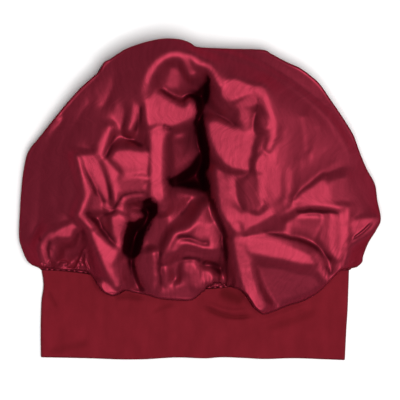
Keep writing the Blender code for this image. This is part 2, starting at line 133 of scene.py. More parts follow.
# Places across the table are charted in the pixels of a 400 x 400 view from above.
FACETS = (
    # back and right flank
    Facet("cavity_stripe", ((168, 66), (176, 66), (178, 88), (167, 88)), 62, -0.10, -0.34),
    Facet("shelf", ((147, 97), (152, 95), (158, 94.5), (164, 98), (171, 103), (178, 107),
         (184, 109), (188, 102), (193, 106), (195, 112), (193, 118), (185, 121.5), (176, 124),
         (170, 126), (163, 123), (156, 124), (150, 126), (147.5, 118), (147, 106)), 72, -0.15,
         -0.05),
    Facet("ledge", ((221, 84), (235, 81), (250, 87), (258, 89), (250, 94), (240, 99), (229, 102),
         (222, 97)), 83, 0.06, -0.02),
    Facet("under_ledge", ((234, 103), (246, 98), (257, 93), (260, 97), (258, 105), (248, 107),
         (240, 109)), 81, 0.12, -0.22),
    Facet("pocket_left", ((240, 110), (249, 110), (249, 124), (245, 127), (240, 120)), 76, 0.0,
         -0.26),
    Facet("pocket_right", ((263, 114), (267, 116), (269, 128), (263, 128), (261, 122)), 80, 0.25,
         0.1),
    Facet("loop_low", ((259, 147), (264, 139.5), (270, 137), (274, 139), (273, 158), (271, 168),
         (260, 162)), 75, 0.03, -0.04),
    Facet("loop_foot", ((255.5, 163), (262, 154), (271, 162), (277, 176), (281, 188), (279, 196),
         (273, 197), (265, 186), (256, 176)), 76, -0.20, -0.08),
    Facet("slant_plate", ((208.5, 124), (215, 122), (225, 126), (236, 131.5), (248, 137),
         (256, 145), (255, 156), (250, 166), (245, 170), (233, 168), (224, 162), (217, 153),
         (212.5, 144), (209.5, 134)), 79, 0.0, 0.05, 0.3),
    Facet("low_plate", ((224, 206), (231, 208), (241, 213), (255, 212), (266, 207.5), (276, 213),
         (262, 222), (253, 227.5), (244, 231.5), (239, 229), (231, 217)), 71, 0.03, -0.02),
    Facet("flank_rib", ((299, 119), (303, 119), (306, 150), (301, 151)), 66, -0.22, -0.10),
    Facet("flank_stripe", ((285, 172), (291, 172), (290, 190), (286, 204), (281, 204), (283, 188)),
         69, -0.16, -0.12),
    Facet("flank_facet", ((293, 202), (301, 193.5), (311, 186.5), (321, 178.5), (325, 184),
         (326, 203), (312, 202)), 65, -0.14, 0.04),
    Facet("flank_facet_side", ((330, 183), (344, 178), (345, 205), (331, 203)), 57, -0.36, 0.05),
    # right puff
    Facet("puff_stripe", ((283, 219), (287, 219), (289, 234), (285, 234)), 55, 0.0, -0.20),
    Facet("puff_panel", ((290, 216), (318, 217), (322, 230), (312, 234)), 53, -0.05, -0.34),
    Facet("puff_right_inner", ((334, 216), (341, 212), (342, 240), (341, 258), (336, 258),
         (332, 248), (331.5, 236), (332, 226)), 56, 0.20, -0.10),
    Facet("second_band", ((238, 237), (250, 235), (262, 237), (280, 241.5), (300, 248),
         (313, 254.5), (315, 263), (300, 263), (285, 258.5), (265, 255), (250, 251), (242, 246)),
         63, -0.08, -0.12),
    # left group
    Facet("rib_left", ((97, 154), (103, 155), (111.5, 129), (108.5, 127), (101, 142)), 60, 0.05,
         0.0),
    Facet("rib_right", ((134, 105), (139, 105), (136, 118), (131, 131), (129, 128)), 66, 0.05,
         -0.1),
    Facet("shoulder_facet", ((117, 104), (126, 107), (125, 118), (121, 127), (115, 120)), 57, 0.20,
         -0.15),
    Facet("left_plate", ((112, 160), (117, 152), (130, 151), (148, 153), (149, 167), (148, 172),
         (133, 174), (121, 168)), 65, 0.02, -0.10, 0.9),
    Facet("left_plate_low", ((104, 161), (111, 160), (121, 170), (119, 181), (117.5, 190),
         (118, 197), (114, 205), (114, 194), (112, 182), (108, 172)), 61, 0.02, -0.04),
    Facet("left_slant", ((122, 180), (133, 178), (148.5, 178), (149, 190), (138, 190.5),
         (126, 191.5), (120, 194), (119, 185)), 61, 0.10, -0.30),
    Facet("flap_plate", ((81, 157), (97, 156.5), (101, 163), (104, 175), (108, 190), (109, 203),
         (103, 195), (92, 173)), 57, 0.04, -0.12),
    Facet("flap_strip", ((77.5, 156.5), (81, 160), (85, 175), (91, 190), (89, 199), (84, 211),
         (80, 213), (82, 203), (86, 194), (83, 180)), 60, 0.0, -0.02),
    Facet("flap_triangle", ((92, 196), (98, 198), (106, 206), (99, 209), (89, 208), (91, 201)), 52,
         -0.40, -0.25),
    Facet("hanging_top", ((90, 225), (100, 236), (112, 247), (119, 250), (112, 262), (106, 262),
         (100, 252), (94, 238)), 53, -0.04, -0.06),
    Facet("hanging_tip", ((101, 284), (108, 280.5), (113, 283), (111, 288), (115, 293),
         (107, 293.5), (102, 289)), 41, 0.0, -0.04),
    Facet("small_facet", ((104, 219), (111, 217), (112, 228), (113, 238), (108, 229)), 50, 0.24,
         -0.10),
    Facet("rim_facet", ((119, 201), (124, 199), (124, 213), (118, 212)), 53, 0.1, -0.2),
    Facet("puff_band", ((51, 237), (58, 231), (67, 227), (80, 220.5), (82, 225), (72, 230),
         (71, 236), (66, 236.5), (58, 236), (54, 239)), 47, 0.06, -0.10),
    # middle group
    Facet("fold_three", ((162, 210), (170, 210), (169.5, 222), (164, 236), (158.5, 249),
         (148, 250), (146, 240), (153, 223)), 50, 0.36, 0.0),
    Facet("fold_three_low", ((142, 256), (155, 252), (156, 275), (155, 287), (152, 290),
         (143, 276), (139, 265)), 43, 0.38, -0.40),
    Facet("lip_left", ((170, 252), (174, 243), (180, 240.5), (186, 241.5), (180, 246), (174, 251)),
         54, 0.05, -0.10),
    Facet("lip_panel", ((199, 222), (202, 226), (204, 240), (198, 237), (190, 233), (193, 229)),
         54, -0.12, -0.22),
    Facet("lip_panel_right", ((209, 226), (214, 223), (218, 236), (218.5, 244), (210, 243)), 53,
         -0.28, -0.10),
    Facet("lobe_spot", ((185, 263), (193, 262), (196, 267), (190, 272), (184, 269)), 43, 0.10,
         -0.20),
    Facet("lobe_plate", ((202, 272), (208, 270.5), (214, 277), (210, 281), (203, 281)), 40, 0.0,
         -0.10),
    Facet("lobe_low", ((178, 285), (192, 286), (196, 293), (172, 294)), 32, 0.02, -0.44),
    # over the others
    Facet("ledge_side", ((215, 84), (219, 88), (222, 100), (230, 104), (226, 107), (218, 100)), 79,
         0.34, -0.10),
    Facet("lobe", ((256, 263), (265, 263), (285, 267), (300, 271), (313, 273.5), (322, 282),
         (306, 291), (286, 297), (270, 303), (264, 299), (259, 283)), 42, 0.02, -0.46),
    Facet("mid_slope", ((244, 184), (255, 172), (260, 186), (264, 200), (258, 210), (247, 207)),
         74, 0.30, 0.0),
    Facet("lip_front", ((184, 246), (196, 247), (212, 250), (218, 250), (214, 256), (200, 255),
         (180, 253)), 47, 0.0, -0.42),
    Facet("lobe_mid", ((191, 275), (199, 270), (201, 282), (203, 286), (194, 287)), 38, 0.0, -0.32),
    Facet("node_tip", ((105, 203), (113, 200), (114, 206), (110, 210), (106, 207)), 52, 0.0, -0.10),
    Facet("tube_left_low", ((145, 182), (150, 181), (151, 196), (149, 198), (146, 191)), 62, -0.02,
         -0.05),
    Facet("puff_slope", ((320, 216), (331, 215), (329.5, 228), (329.5, 246), (334, 256),
         (326, 250), (320, 238)), 55, 0.30, -0.1),
)  # fmt: skip

FOLDS = (
    Fold("arch_rim", ((147, 100, 69), (145.7, 93, 71.5), (146, 86, 73.5), (149, 77, 75),
         (153.5, 69, 76), (160, 62, 77), (168, 57, 77), (176, 55.5, 77), (184, 57, 77),
         (192, 59, 78), (200, 64, 78), (207, 66.5, 79), (212, 71, 80), (216, 78, 81),
         (220, 86, 82)), 1.6),
    Fold("loop_rim", ((256, 89.5, 83), (261, 91, 83), (265, 97, 83), (267.5, 107, 82),
         (270.5, 117, 81), (272.5, 127, 80), (271.5, 137, 79), (268, 148, 78)), 2.2),
    Fold("loop_tail", ((259, 176, 75), (261, 186, 75), (264, 197, 74), (270, 206, 71),
         (280, 212.5, 67)), 2.0),
    Fold("puff_top_left", ((247, 230.5, 67), (254, 227.5, 67), (266, 221.5, 67), (280, 213, 67)),
         0.6),
    Fold("puff_top", ((280, 213, 65), (290, 208, 64), (300, 205, 63.5), (320, 204.5, 62),
         (338, 207, 60), (345, 209, 58)), 1.2),
    Fold("under_puff_top", ((296, 211, 52), (310, 210.5, 48), (325, 212, 47), (337, 214, 49))),
    Fold("puff_right", ((345, 209, 58), (345, 225, 57), (344.5, 240, 55.5), (343.5, 252, 53),
         (341, 262, 51)), 1.8),
    Fold("puff_hem", ((341, 262, 51), (338, 270, 49.5), (332.5, 278.5, 47)), 0.9),
    Fold("puff_dark", ((263, 232, 59), (280, 236.5, 51), (300, 241.5, 43.5), (316, 248.5, 40.5),
         (330, 259, 43))),
    Fold("second_edge", ((244, 235, 63.5), (254, 234.5, 63.5), (264, 236, 63), (280, 239.5, 61.5),
         (297, 245.5, 58.5), (312, 252.5, 56)), 1.0),
    Fold("side_low", ((352, 252, 30), (364, 242, 27))),
    Fold("flank_crease", ((291, 202, 61), (299, 192.5, 59.5), (311, 185, 57), (324, 176, 53),
         (340, 168, 47))),
    Fold("flank_over", ((288, 198, 64), (296, 187, 62.5), (308, 179, 58.5), (321, 170, 54),
         (336, 162, 48))),
    Fold("flank_arc", ((308, 159, 61), (312, 154, 60), (322, 151, 56)), 0.8),
    Fold("flank_line", ((306, 154, 61), (311, 146, 60), (315, 136, 60), (317, 127, 60))),
    Fold("flank_valley", ((280, 130, 76), (282, 150, 74), (283, 163, 73))),
    Fold("flank_valley_right", ((297, 160, 65), (297, 175, 65), (294, 192, 62))),
    Fold("back_edge", ((199, 52, 63), (225, 58.5, 62), (246, 66, 62), (257, 71, 61), (290, 91, 58),
         (320, 116, 53), (337, 139, 47), (345, 154, 43)), 0.6),
    Fold("back_valley", ((206, 49.5, 54), (226, 53.5, 54), (244, 60, 54), (261, 66, 53),
         (294, 87, 50), (325, 112, 45), (342, 135, 38), (353, 149, 32))),
    Fold("cavity_valley", ((157, 78, 66), (160, 84, 61), (163, 90, 56))),
    Fold("cavity_back", ((180, 64, 68), (188, 78, 60), (197, 90, 46))),
    Fold("black_top", ((206, 74, 62), (208.5, 80, 42), (208, 90, 26))),
    Fold("shelf_crease", ((160, 90.5, 57), (166, 95, 51), (174, 100, 48), (183, 104, 46),
         (188, 97, 40), (197, 97, 26))),
    Fold("shelf_lip_line", ((165, 126, 54), (170, 129.5, 52))),
    Fold("below_shelf", ((172, 133, 52), (182, 133, 50), (193, 128, 38))),
    Fold("below_line", ((168, 136, 54), (182, 135.5, 51)), 0.6),
    Fold("pit_wall", ((174, 143, 47), (181, 157, 41), (191, 150, 33))),
    Fold("pit_side", ((191, 192, 33), (189, 204, 33), (181, 214, 36))),
    Fold("pit_top", ((171, 177, 44), (180, 168.5, 42), (189, 160, 38), (197, 152, 30))),
    Fold("pit_foot", ((171, 192, 43), (186, 195, 38), (200, 198, 33))),
    Fold("channel_floor", ((206, 92, 26), (202, 100, 22), (199, 110, 22), (199, 120, 16),
         (202, 132, 10), (205.5, 148, 6), (206, 165, 6)), 1.4),
    Fold("pit_floor", ((174.5, 181.5, 16), (184, 178.5, 8), (195, 172, 6), (203, 163, 6)), 4.4),
    Fold("pit_floor_low", ((190, 183, 10), (201, 181, 6), (205.5, 186, 10)), 3.6),
    Fold("channel_low", ((208, 188, 12), (211, 198, 24), (214, 207, 34), (218, 217, 38),
         (222.5, 231, 31), (224.5, 248, 26), (226, 262, 22), (226, 275, 22)), 0.6),
    Fold("channel_right", ((206.5, 106, 48), (204.5, 120, 47), (208, 135, 44), (212, 150, 42),
         (212, 175, 44), (212.5, 203, 48), (219.5, 226, 44), (228.5, 246, 41), (233, 270, 36))),
    Fold("slant_valley", ((210, 109, 54), (222, 118, 60), (236, 127, 66))),
    Fold("slant_over", ((216, 99, 72), (226, 106, 73), (237, 116, 72))),
    Fold("pocket_wall", ((257.5, 100, 76), (255, 115, 71), (254, 129, 69.5), (259, 138, 72))),
    Fold("groove", ((258, 149, 78), (255.5, 158, 75), (251.5, 168, 71), (245, 178, 67))),
    Fold("plate_hollow", ((236, 180, 65), (237, 192, 66), (238, 203, 66), (243, 210, 66))),
    Fold("under_slant", ((222, 166, 66), (232, 170, 67), (242, 171, 67))),
    Fold("tube", ((158, 133, 64.5), (157, 150, 64.5), (157, 175, 64), (157.5, 196, 61.5)), 5.6),
    Fold("tube_foot", ((158.5, 197, 61), (162, 203, 58), (163.5, 208, 55)), 2.6),
    Fold("tube_line", ((141, 139, 54), (147.5, 146, 57), (150, 157, 58), (150, 182, 58))),
    Fold("tube_wall", ((168, 138, 52), (170, 150, 50), (170.5, 166, 46))),
    Fold("small_hollow", ((122, 134, 50), (132, 141, 44), (142, 146, 45))),
    Fold("rib_hollow", ((107, 157, 50), (112, 146, 48), (115, 136, 49))),
    Fold("rib_gap", ((142, 108, 60), (139, 121, 54), (136, 131, 50))),
    Fold("rib_gap_left", ((128, 112, 56), (124, 128, 52))),
    Fold("flap_over", ((76, 150, 49), (95, 150, 52))),
    Fold("under_flap", ((73, 158, 47), (76, 180, 49), (78, 195, 49), (74, 213, 46))),
    Fold("flap_crease", ((84, 165, 55), (91, 179, 50), (98, 192, 46), (105, 202, 45)), 0.2),
    Fold("flap_crease_right", ((104.5, 168, 56), (108, 180, 52), (110.5, 190, 49), (111, 198, 47)),
         0.2),
    Fold("node", ((98, 219, 40), (105, 215, 41), (112, 211.5, 42), (118, 203.5, 44),
         (125, 195.5, 47), (135, 192.5, 50), (146, 191.5, 53))),
    Fold("hollow_rim", ((121, 202, 52), (127, 197.5, 53), (136, 195.5, 55), (148, 195, 57)), 0.8),
    Fold("crest", ((80, 214, 57), (86, 220, 56), (92, 227, 55)), 1.0),
    Fold("crest_valley", ((90, 215.5, 38), (97, 221, 34), (105, 231, 32), (114, 242, 35)), 1.6),
    Fold("facet_edge", ((119, 214, 53), (124, 218, 53), (126.5, 222, 52), (123, 234, 50),
         (121, 247, 48)), 0.5),
    Fold("hanging_right", ((124, 260, 41), (125, 275, 34), (128, 288, 27))),
    Fold("hanging_left", ((86, 228, 42), (91, 244, 38), (96, 258, 32), (98, 275, 26))),
    Fold("tip_edge", ((118, 292, 35), (123, 284, 38), (118, 282, 42)), 0.5),
    Fold("lower_hollow_top", ((131, 205, 38), (140, 203, 32)), 1.4),
    Fold("lower_hollow", ((150.5, 205, 20), (151, 210, 12), (146, 220, 8), (139, 234, 6),
         (134.5, 249, 8)), 6.2),
    Fold("middle_gap", ((132, 262, 16), (137, 275, 18), (143, 288, 16)), 1.2),
    Fold("fold_three_edge", ((154, 218, 44), (148, 228, 43), (144.5, 240, 42), (142.5, 250, 41),
         (137, 262, 38), (140, 278, 34), (147, 291, 31))),
    Fold("middle_groove", ((172, 226, 48), (166.5, 239, 45), (161.5, 250, 42.5),
         (159.5, 262, 35.5), (160.5, 275, 31), (162, 285, 28))),
    Fold("centre_slope", ((184, 200, 36), (182, 208, 39), (177, 217, 43), (171.5, 224, 46))),
    Fold("lip_ridge", ((207, 206.5, 49), (203, 212, 52), (199, 219, 54), (194, 225.5, 55),
         (188, 230.5, 56), (180, 232.5, 56), (175, 235, 56), (171, 242, 55), (167, 250, 53),
         (164, 257, 49)), 0.5),
    Fold("ridge_back", ((196, 208, 40), (188, 219, 46), (178, 227, 50))),
    Fold("lip_slit", ((180, 236, 46), (188, 238.5, 42), (198, 242, 40), (208, 244.5, 42)), 0.3),
    Fold("lip", ((180, 243, 54), (187, 242, 54), (194, 243.5, 53), (202, 246.5, 51),
         (212, 247.5, 50), (218, 246, 48)), 0.4),
    Fold("under_lip", ((184, 257.5, 34), (200, 259.5, 29))),
    Fold("lip_black", ((206, 263, 24), (213, 265, 18), (219, 270, 16)), 2.0),
    Fold("lower_valley", ((184, 274, 36), (182, 280, 35), (180, 286, 34))),
    Fold("lower_strip", ((165.5, 268, 41), (166, 282, 34)), 0.2),
    Fold("seam_rim", ((47, 262, 36), (44.5, 254, 38.5), (44, 246, 40.5), (46.5, 239, 42.5),
         (52, 234.5, 44)), 1.8),
    Fold("seam_rim_line", ((50, 258, 27), (49.5, 248, 31), (51, 241, 36))),
    Fold("seam_rim_inner", ((51.5, 256, 34), (54.5, 249, 37), (54.5, 242, 40), (57, 238, 42)), 0.6),
    Fold("seam_hollow", ((61, 256, 18), (64, 248, 20), (74, 243, 25), (83, 233, 32)), 1.2),
    Fold("seam_dark", ((72, 262, 12), (82, 254, 16)), 1.7),
    Fold("seam_over", ((44, 232, 35), (58, 225, 40), (76, 217, 44))),
    Fold("flank_left_mid", ((64, 120, 34), (53, 136, 32), (46, 155, 30), (43, 185, 27.5),
         (42, 215, 25.5), (41, 240, 21))),
    Fold("flank_left_edge", ((60, 118, 36), (43, 140, 28), (32, 165, 22), (29, 195, 20),
         (27, 225, 18))),
    Fold("shoulder_slope", ((116, 70, 56), (115, 88, 54), (105, 108, 49))),
    Fold("flank_left_high", ((92, 102, 45), (76, 126, 42), (65, 150, 41), (61, 185, 39.5),
         (60, 205, 37))),
    Fold("pan_edge", ((219.5, 172, 64), (221.5, 183, 65.5), (222.5, 198, 67.5), (225, 209, 69),
         (230, 218.5, 69.5), (237, 227, 68)), 3.4),
    Fold("left_band", ((239.5, 240, 64.5), (241.5, 254, 62), (244, 266, 59.5), (247.5, 280, 57),
         (252, 293, 55), (257.5, 304, 53)), 5.4),
    Fold("prong", ((186.5, 59, 77), (189.5, 66, 75), (192, 73, 72)), 2.6),
    Fold("lower_hollow_tip", ((132, 255, 14), (134, 262, 22)), 1.5),
    Fold("tongue", ((129, 217, 46), (136, 216.5, 43), (142, 215.5, 39)), 1.6),
    Fold("hanging_ridge", ((104, 258, 50), (108, 266, 48), (113, 275, 45.5), (118, 283, 43)), 1.8),
    Fold("small_stripe", ((114, 218, 53), (115, 228, 51.5), (117.5, 241, 49)), 1.4),
    Fold("lower_hollow_left", ((130.5, 226, 12), (127, 236, 10), (127.5, 248, 12)), 3.6),
    Fold("tube_hump", ((159, 131.5, 66), (164.5, 134, 64.5)), 2.4),
    Fold("hem_left", ((313, 254, 56), (318.5, 265, 53), (322.5, 273, 50.5), (327, 280, 48)), 1.6),
    Fold("hem_hollow", ((324, 266, 44), (330, 274, 41))),
    Fold("far_right", ((350.5, 224.5, 56), (360, 224, 55), (370.5, 222, 54)), 3.8),
    Fold("side_line", ((348.5, 241, 52.5), (356, 236, 54), (363, 231.5, 54.5), (370, 226, 54),
         (374, 220, 53)), 1.8),
    Fold("far_right_over", ((350, 216, 53), (360, 215.5, 52), (372, 213.5, 48))),
    Fold("lower_dark", ((174, 260, 38), (175.5, 268, 34), (177, 277, 29)), 4.0),
    Fold("corner_join", ((238, 226, 68), (239.5, 232, 66.5), (240, 238, 65)), 3.4),
    Fold("far_right_low", ((351, 229, 55), (358, 229.5, 54.5), (364, 227, 54)), 1.8),
)  # fmt: skip

# Fine creases that stand up from the satin, or are pressed into it.
SATIN_CREASES = (
    Crease("gather_loop_left", ((89, 245), (83, 253), (79, 262), (76, 268), (70, 272)), 3.0, 1.1),
    Crease("gather_loop_right", ((87, 250), (86, 262), (88, 268), (85, 271), (82, 268)), 3.0, 1.2),
    Crease("far_right_line", ((351, 239), (362, 231), (371, 222)), 1.6, 1.2),
    Crease("gather_one", ((41, 262), (43.5, 267), (46.5, 264.5)), 2.0, 1.0),
    Crease("gather_two", ((50.5, 260), (52, 266), (55, 266.5)), 2.2, 1.0),
    Crease("gather_three", ((58, 266), (60, 262), (64, 261), (67, 263), (65, 267)), 2.2, 1.1),
    Crease("gather_four", ((80, 261), (82, 265), (80, 267)), 2.0, 1.0),
    Crease("corner_gather", ((350, 265), (354, 261), (358, 264), (361, 261)), 1.8, 1.0),
)

# Soft wrinkles in the band's upper layer; their grooves are also painted darker as shade.
JERSEY_CREASES = (
    Crease("long_groove", ((200, 305), (209, 309), (220, 314), (236, 317), (256, 315)), -2.2, 2.0),
    Crease("long_swell", ((203, 301), (216, 307), (232, 311), (252, 309)), 1.8, 2.6),
    Crease("shaded_hollow", ((218, 290), (232, 296), (245, 301)), -2.6, 6.0),
    Crease("right_swell", ((254, 323), (280, 315), (312, 303)), 1.8, 4.0),
    Crease("right_hollow", ((262, 329), (290, 321), (320, 309)), -1.2, 4.0),
    Crease("left_line", ((48, 290), (52, 299), (57, 308)), -0.9, 1.6),
    Crease("left_wave", ((46, 353), (68, 347), (90, 342)), -1.0, 3.6),
    Crease("middle_wrinkle", ((152, 313), (163, 307), (175, 304)), -1.0, 2.0),
    Crease("lobe_shade", ((112, 297), (128, 296), (146, 299)), -1.6, 3.0),
    Crease("hem_wave_left", ((95, 352), (120, 349), (150, 351)), 0.45, 5.0),
    Crease("hem_wave_right", ((225, 350), (262, 347), (300, 351)), 0.45, 6.0),
)

# The crown's outline in four stretches, with the satin's height just inside it in
# millimetres, and the band's outline.
LEFT_OUTLINE = (
    (32, 265, 13), (27, 260, 13), (22, 248, 14), (19.5, 237, 14), (20, 215, 15), (22, 186, 16),
    (24.5, 167, 17), (29, 151, 19), (40, 137, 23), (55, 118, 29), (70, 100, 35), (80, 89, 39),
)  # fmt: skip
BACK_OUTLINE = (
    (80, 89, 39), (90, 80, 43), (99, 72, 46), (104, 63, 49), (111, 59, 51), (125, 50, 56),
    (138, 45, 60), (150, 41.5, 63), (165, 39, 64), (181, 40, 63), (191, 43.5, 60),
    (199, 47.5, 56), (230, 49, 49), (262, 50, 46), (271, 54, 46), (285, 61.5, 45),
    (300, 68.5, 43), (311, 76.5, 41), (320, 85, 39), (331, 101, 36),
)  # fmt: skip
RIGHT_OUTLINE = (
    (357, 267, 13), (362, 262, 13), (363, 256, 14), (368, 243, 18), (376, 230, 27),
    (380.5, 219, 31), (377, 200, 25), (374.5, 184, 23), (366, 168, 25), (359, 151, 28),
    (354, 137, 30), (349, 128, 31), (340, 114, 34), (331, 101, 36),
)  # fmt: skip
FRONT_EDGE = (
    (32, 265, 13), (42, 267.5, 13), (60, 269.5, 14), (80, 270, 16), (90, 273.5, 19),
    (97, 283.5, 34), (103, 291.5, 40), (112, 295.7, 42), (119, 294.3, 40), (125, 290.5, 30),
    (136, 292.5, 24), (148, 295, 25), (160, 298.5, 26), (176, 300, 27), (191, 300, 27),
    (199, 295, 26), (207, 288, 25), (216, 282.5, 22), (226, 285, 22), (240, 290, 26),
    (247, 297, 46), (254, 307.7, 47), (263, 314, 45), (273, 311.5, 35), (288, 305.5, 27),
    (303, 301, 27), (317, 293, 31), (329, 282, 40), (339, 271.5, 45), (348, 268.5, 19),
    (357, 267, 13),
)  # fmt: skip
HEM = (
    (41, 357.2), (87, 358.1), (120, 359.2), (145, 359), (176, 357.2), (205, 358.1), (221, 357),
    (243, 357.7), (265, 358.8), (294, 358.1), (325, 359.2), (344.8, 360),
)  # fmt: skip
BAND_LEFT = ((41, 357.2), (40.7, 330), (41.5, 302), (43.5, 285), (41.5, 269))
BAND_RIGHT = ((344.8, 360), (346.3, 329), (347.5, 311), (348.3, 290), (349, 269))


def plan(chart: Array) -> Array:
    """Chart pixels to metres across the table.

    Args:
        chart: x and y in chart pixels, along the last axis.

    Returns:
        The same places in metres, to the right and towards the back.
    """
    chart = np.asarray(chart, float)
    across = chart[..., 0] - CHART_MIDDLE[0]
    up = CHART_MIDDLE[1] - chart[..., 1]
    return np.stack([across, up], axis=-1) * METRES_PER_PIXEL


def smooth_path(points: tuple, count: int) -> Array:
    """A smooth curve through the points.

    Args:
        points: the points, in two or three dimensions.
        count: how many evenly spaced points to return.

    Returns:
        The curve's points, one row each.
    """
    knots = np.asarray(points, float)
    padded = np.vstack([2 * knots[0] - knots[1], knots, 2 * knots[-1] - knots[-2]])
    steps = np.linspace(0, 1, STEPS_BETWEEN_KNOTS, endpoint=False)[:, None]
    pieces = []
    for before, start, end, after in zip(padded, padded[1:], padded[2:], padded[3:]):
        tangent_in, tangent_out = (end - before) / 2, (after - start) / 2
        pieces.append(
            (2 * steps**3 - 3 * steps**2 + 1) * start
            + (steps**3 - 2 * steps**2 + steps) * tangent_in
            + (3 * steps**2 - 2 * steps**3) * end
            + (steps**3 - steps**2) * tangent_out
        )
    path = np.vstack([*pieces, knots[-1:]])
    return resample(path, np.linspace(0, 1, count))


def travelled(path: Array) -> Array:
    """The length across the table up to each of the path's points."""
    lengths = np.linalg.norm(np.diff(path[:, :2], axis=0), axis=1)
    return np.concatenate([[0], np.cumsum(lengths)])


def resample(path: Array, shares: Array) -> Array:
    """Points of a path at shares of its length."""
    along = travelled(path)
    return np.stack([np.interp(shares * along[-1], along, c) for c in path.T], axis=-1)


def seam_path(count: int) -> Array:
    """The seam on the chart: level at its ends and sagging between them.

    Args:
        count: how many points to return.

    Returns:
        The seam's points in chart pixels, one row each.
    """
    share = np.linspace(0, 1, count)
    (left, level), (right, _) = SEAM_ENDS
    sag = SEAM_SAG * np.sin(np.pi * share) ** 2
    return np.stack([left + (right - left) * share, level + sag], axis=-1)


def spanned(
    front: Array, back: Array, left: Array, right: Array, across: Array, along: Array
) -> Array:
    """A grid of points between four edges (a Coons patch).

    Args:
        front: the points of the first row.
        back: the points of the last row.
        left: the first point of every row.
        right: the last point of every row.
        across: the share of the way across at each column.
        along: the share of the way back at each row.

    Returns:
        The points, rows by columns.
    """
    across, along = across[None, :, None], along[:, None, None]
    corners = (1 - along) * ((1 - across) * front[0] + across * front[-1])
    corners = corners + along * ((1 - across) * back[0] + across * back[-1])
    lengthwise = (1 - along) * front[None] + along * back[None]
    crosswise = (1 - across) * left[:, None] + across * right[:, None]
    return lengthwise + crosswise - corners


def distance_to(points: Array, path: Array) -> Array:
    """How far each point lies from a path, across the table, in the units of both.

    Args:
        points: the points, along the last axis.
        path: the path's points, one row each.

    Returns:
        The distance of each point.
    """
    nearest = np.full(points.shape[:-1], np.inf)
    for start, end in zip(path, path[1:]):
        along = end - start
        length = along @ along
        if length == 0:
            continue
        share = np.clip((points - start) @ along / length, 0, 1)
        offset = points - start - share[..., None] * along
        nearest = np.minimum(nearest, np.einsum("...i,...i", offset, offset))
    return np.sqrt(nearest)


def quarter_round(share: Array) -> Array:
    """0 at the edge to 1 where a roll ends, upright at the edge and level inside."""
    return np.sqrt(1 - (1 - np.clip(share, 0, 1)) ** 2)


def smooth_step(share: Array) -> Array:
    """0 to 1 with level ends."""
    share = np.clip(share, 0, 1)
    return share * share * (3 - 2 * share)


def even_at_edges(count: int, tighter: float) -> Array:
    """Shares from 0 to 1 that crowd towards both ends by the given amount."""
    share = np.linspace(0, 1, count)
    return share * (1 - tighter) + tighter * (0.5 - 0.5 * np.cos(np.pi * share))


def distance_from_ends(row: Array) -> Array:
    """How far each point of a row lies from the nearer end, across the table."""
    ends = row[[0, -1], None, :2]
    return np.linalg.norm(row[:, :2] - ends, axis=-1).min(axis=0)


def tube_heights(shares: Array, row: Array, rise: float) -> tuple[Array, Array]:
    """Outer heights of the flattened band along a row, upper and lower layer.

    Args:
        shares: the share of the way across at each point of the row.
        row: the row's points.
        rise: how far the middle of the upper layer swells above its sides.

    Returns:
        The heights of the upper layer, and of the lower.
    """
    rolled = quarter_round(distance_from_ends(row) / BAND_SIDE_RADIUS)
    upper = BAND_SIDE_RADIUS * (1 + rolled) + rise * np.sin(np.pi * shares) ** 2
    return upper, BAND_SIDE_RADIUS * (1 - rolled)


def inside(outline: Array, across: Array, down: Array) -> Array:
    """Which chart points lie within an outline.

    Args:
        outline: the outline's corners, one row each.
        across: how far each point lies from the chart's left edge.
        down: how far it lies from its top.

    Returns:
        True for each point within.
    """
    within = np.zeros(across.shape, bool)
    for (x0, y0), (x1, y1) in zip(outline, np.roll(outline, -1, axis=0)):
        if y0 == y1:
            continue
        crossing = (x1 - x0) * (down - y0) / (y1 - y0) + x0
        within ^= ((y0 > down) != (y1 > down)) & (across < crossing)
    return within


def filtered(cells: Array, weight: Callable[[Array], Array]) -> Array:
    """Weighs the waves that make up a grid of values.

    Args:
        cells: the values.
        weight: the weight of a wave by the square of its turns per cell, in radians.

    Returns:
        The values with their waves weighed, as if mirrored past every edge.
    """
    rows, columns = cells.shape
    mirrored = np.block([[cells, cells[:, ::-1]], [cells[::-1], cells[::-1, ::-1]]])
    down = 2 - 2 * np.cos(2 * np.pi * np.fft.fftfreq(2 * rows))
    across = 2 - 2 * np.cos(2 * np.pi * np.fft.rfftfreq(2 * columns))
    waves = np.fft.rfft2(mirrored) * weight(down[:, None] + across[None])
    return np.fft.irfft2(waves, s=mirrored.shape)[:rows, :columns]


def moved_about(cells: Array, reach: int) -> Iterator[tuple[int, Array]]:
    """The cells moved every way by up to the reach.

    Args:
        cells: the heights.
        reach: the furthest they move along a row or a column.

    Yields:
        The square of how far they moved, and the moved heights.
    """
    rows, columns = cells.shape
    wide = np.pad(cells, reach, mode="edge")
    for down in range(2 * reach + 1):
        for across in range(2 * reach + 1):
            away = (down - reach) ** 2 + (across - reach) ** 2
            yield away, wide[down : down + rows, across : across + columns]


def highest(cells: Array, reach: int) -> Array:
    """The highest height within reach of each cell, in cells.

    Args:
        cells: the heights.
        reach: how far away a cell may be, in cells.

    Returns:
        The highest for each cell.
    """
    top = cells
    for away, moved in moved_about(cells, reach):
        if away <= reach**2:
            top = np.maximum(top, moved)
    return top


def slopes_of(cells: Array) -> tuple[Array, Array]:
    """How much the next cell to the right, and the next one down, is higher."""
    return (
        np.diff(cells, axis=1, append=cells[:, -1:]),
        np.diff(cells, axis=0, append=cells[-1:]),
    )


def bend_of(across: Array, down: Array) -> Array:
    """How much the slopes lessen from the cells before to each cell.

    Args:
        across: the slope from each cell to the next on the right.
        down: the slope from each cell to the next below.

    Returns:
        How far each cell stands out from its neighbours.
    """
    bend = -across - down
    bend[:, 1:] += across[:, :-1]
    bend[1:] += down[:-1]
    return bend


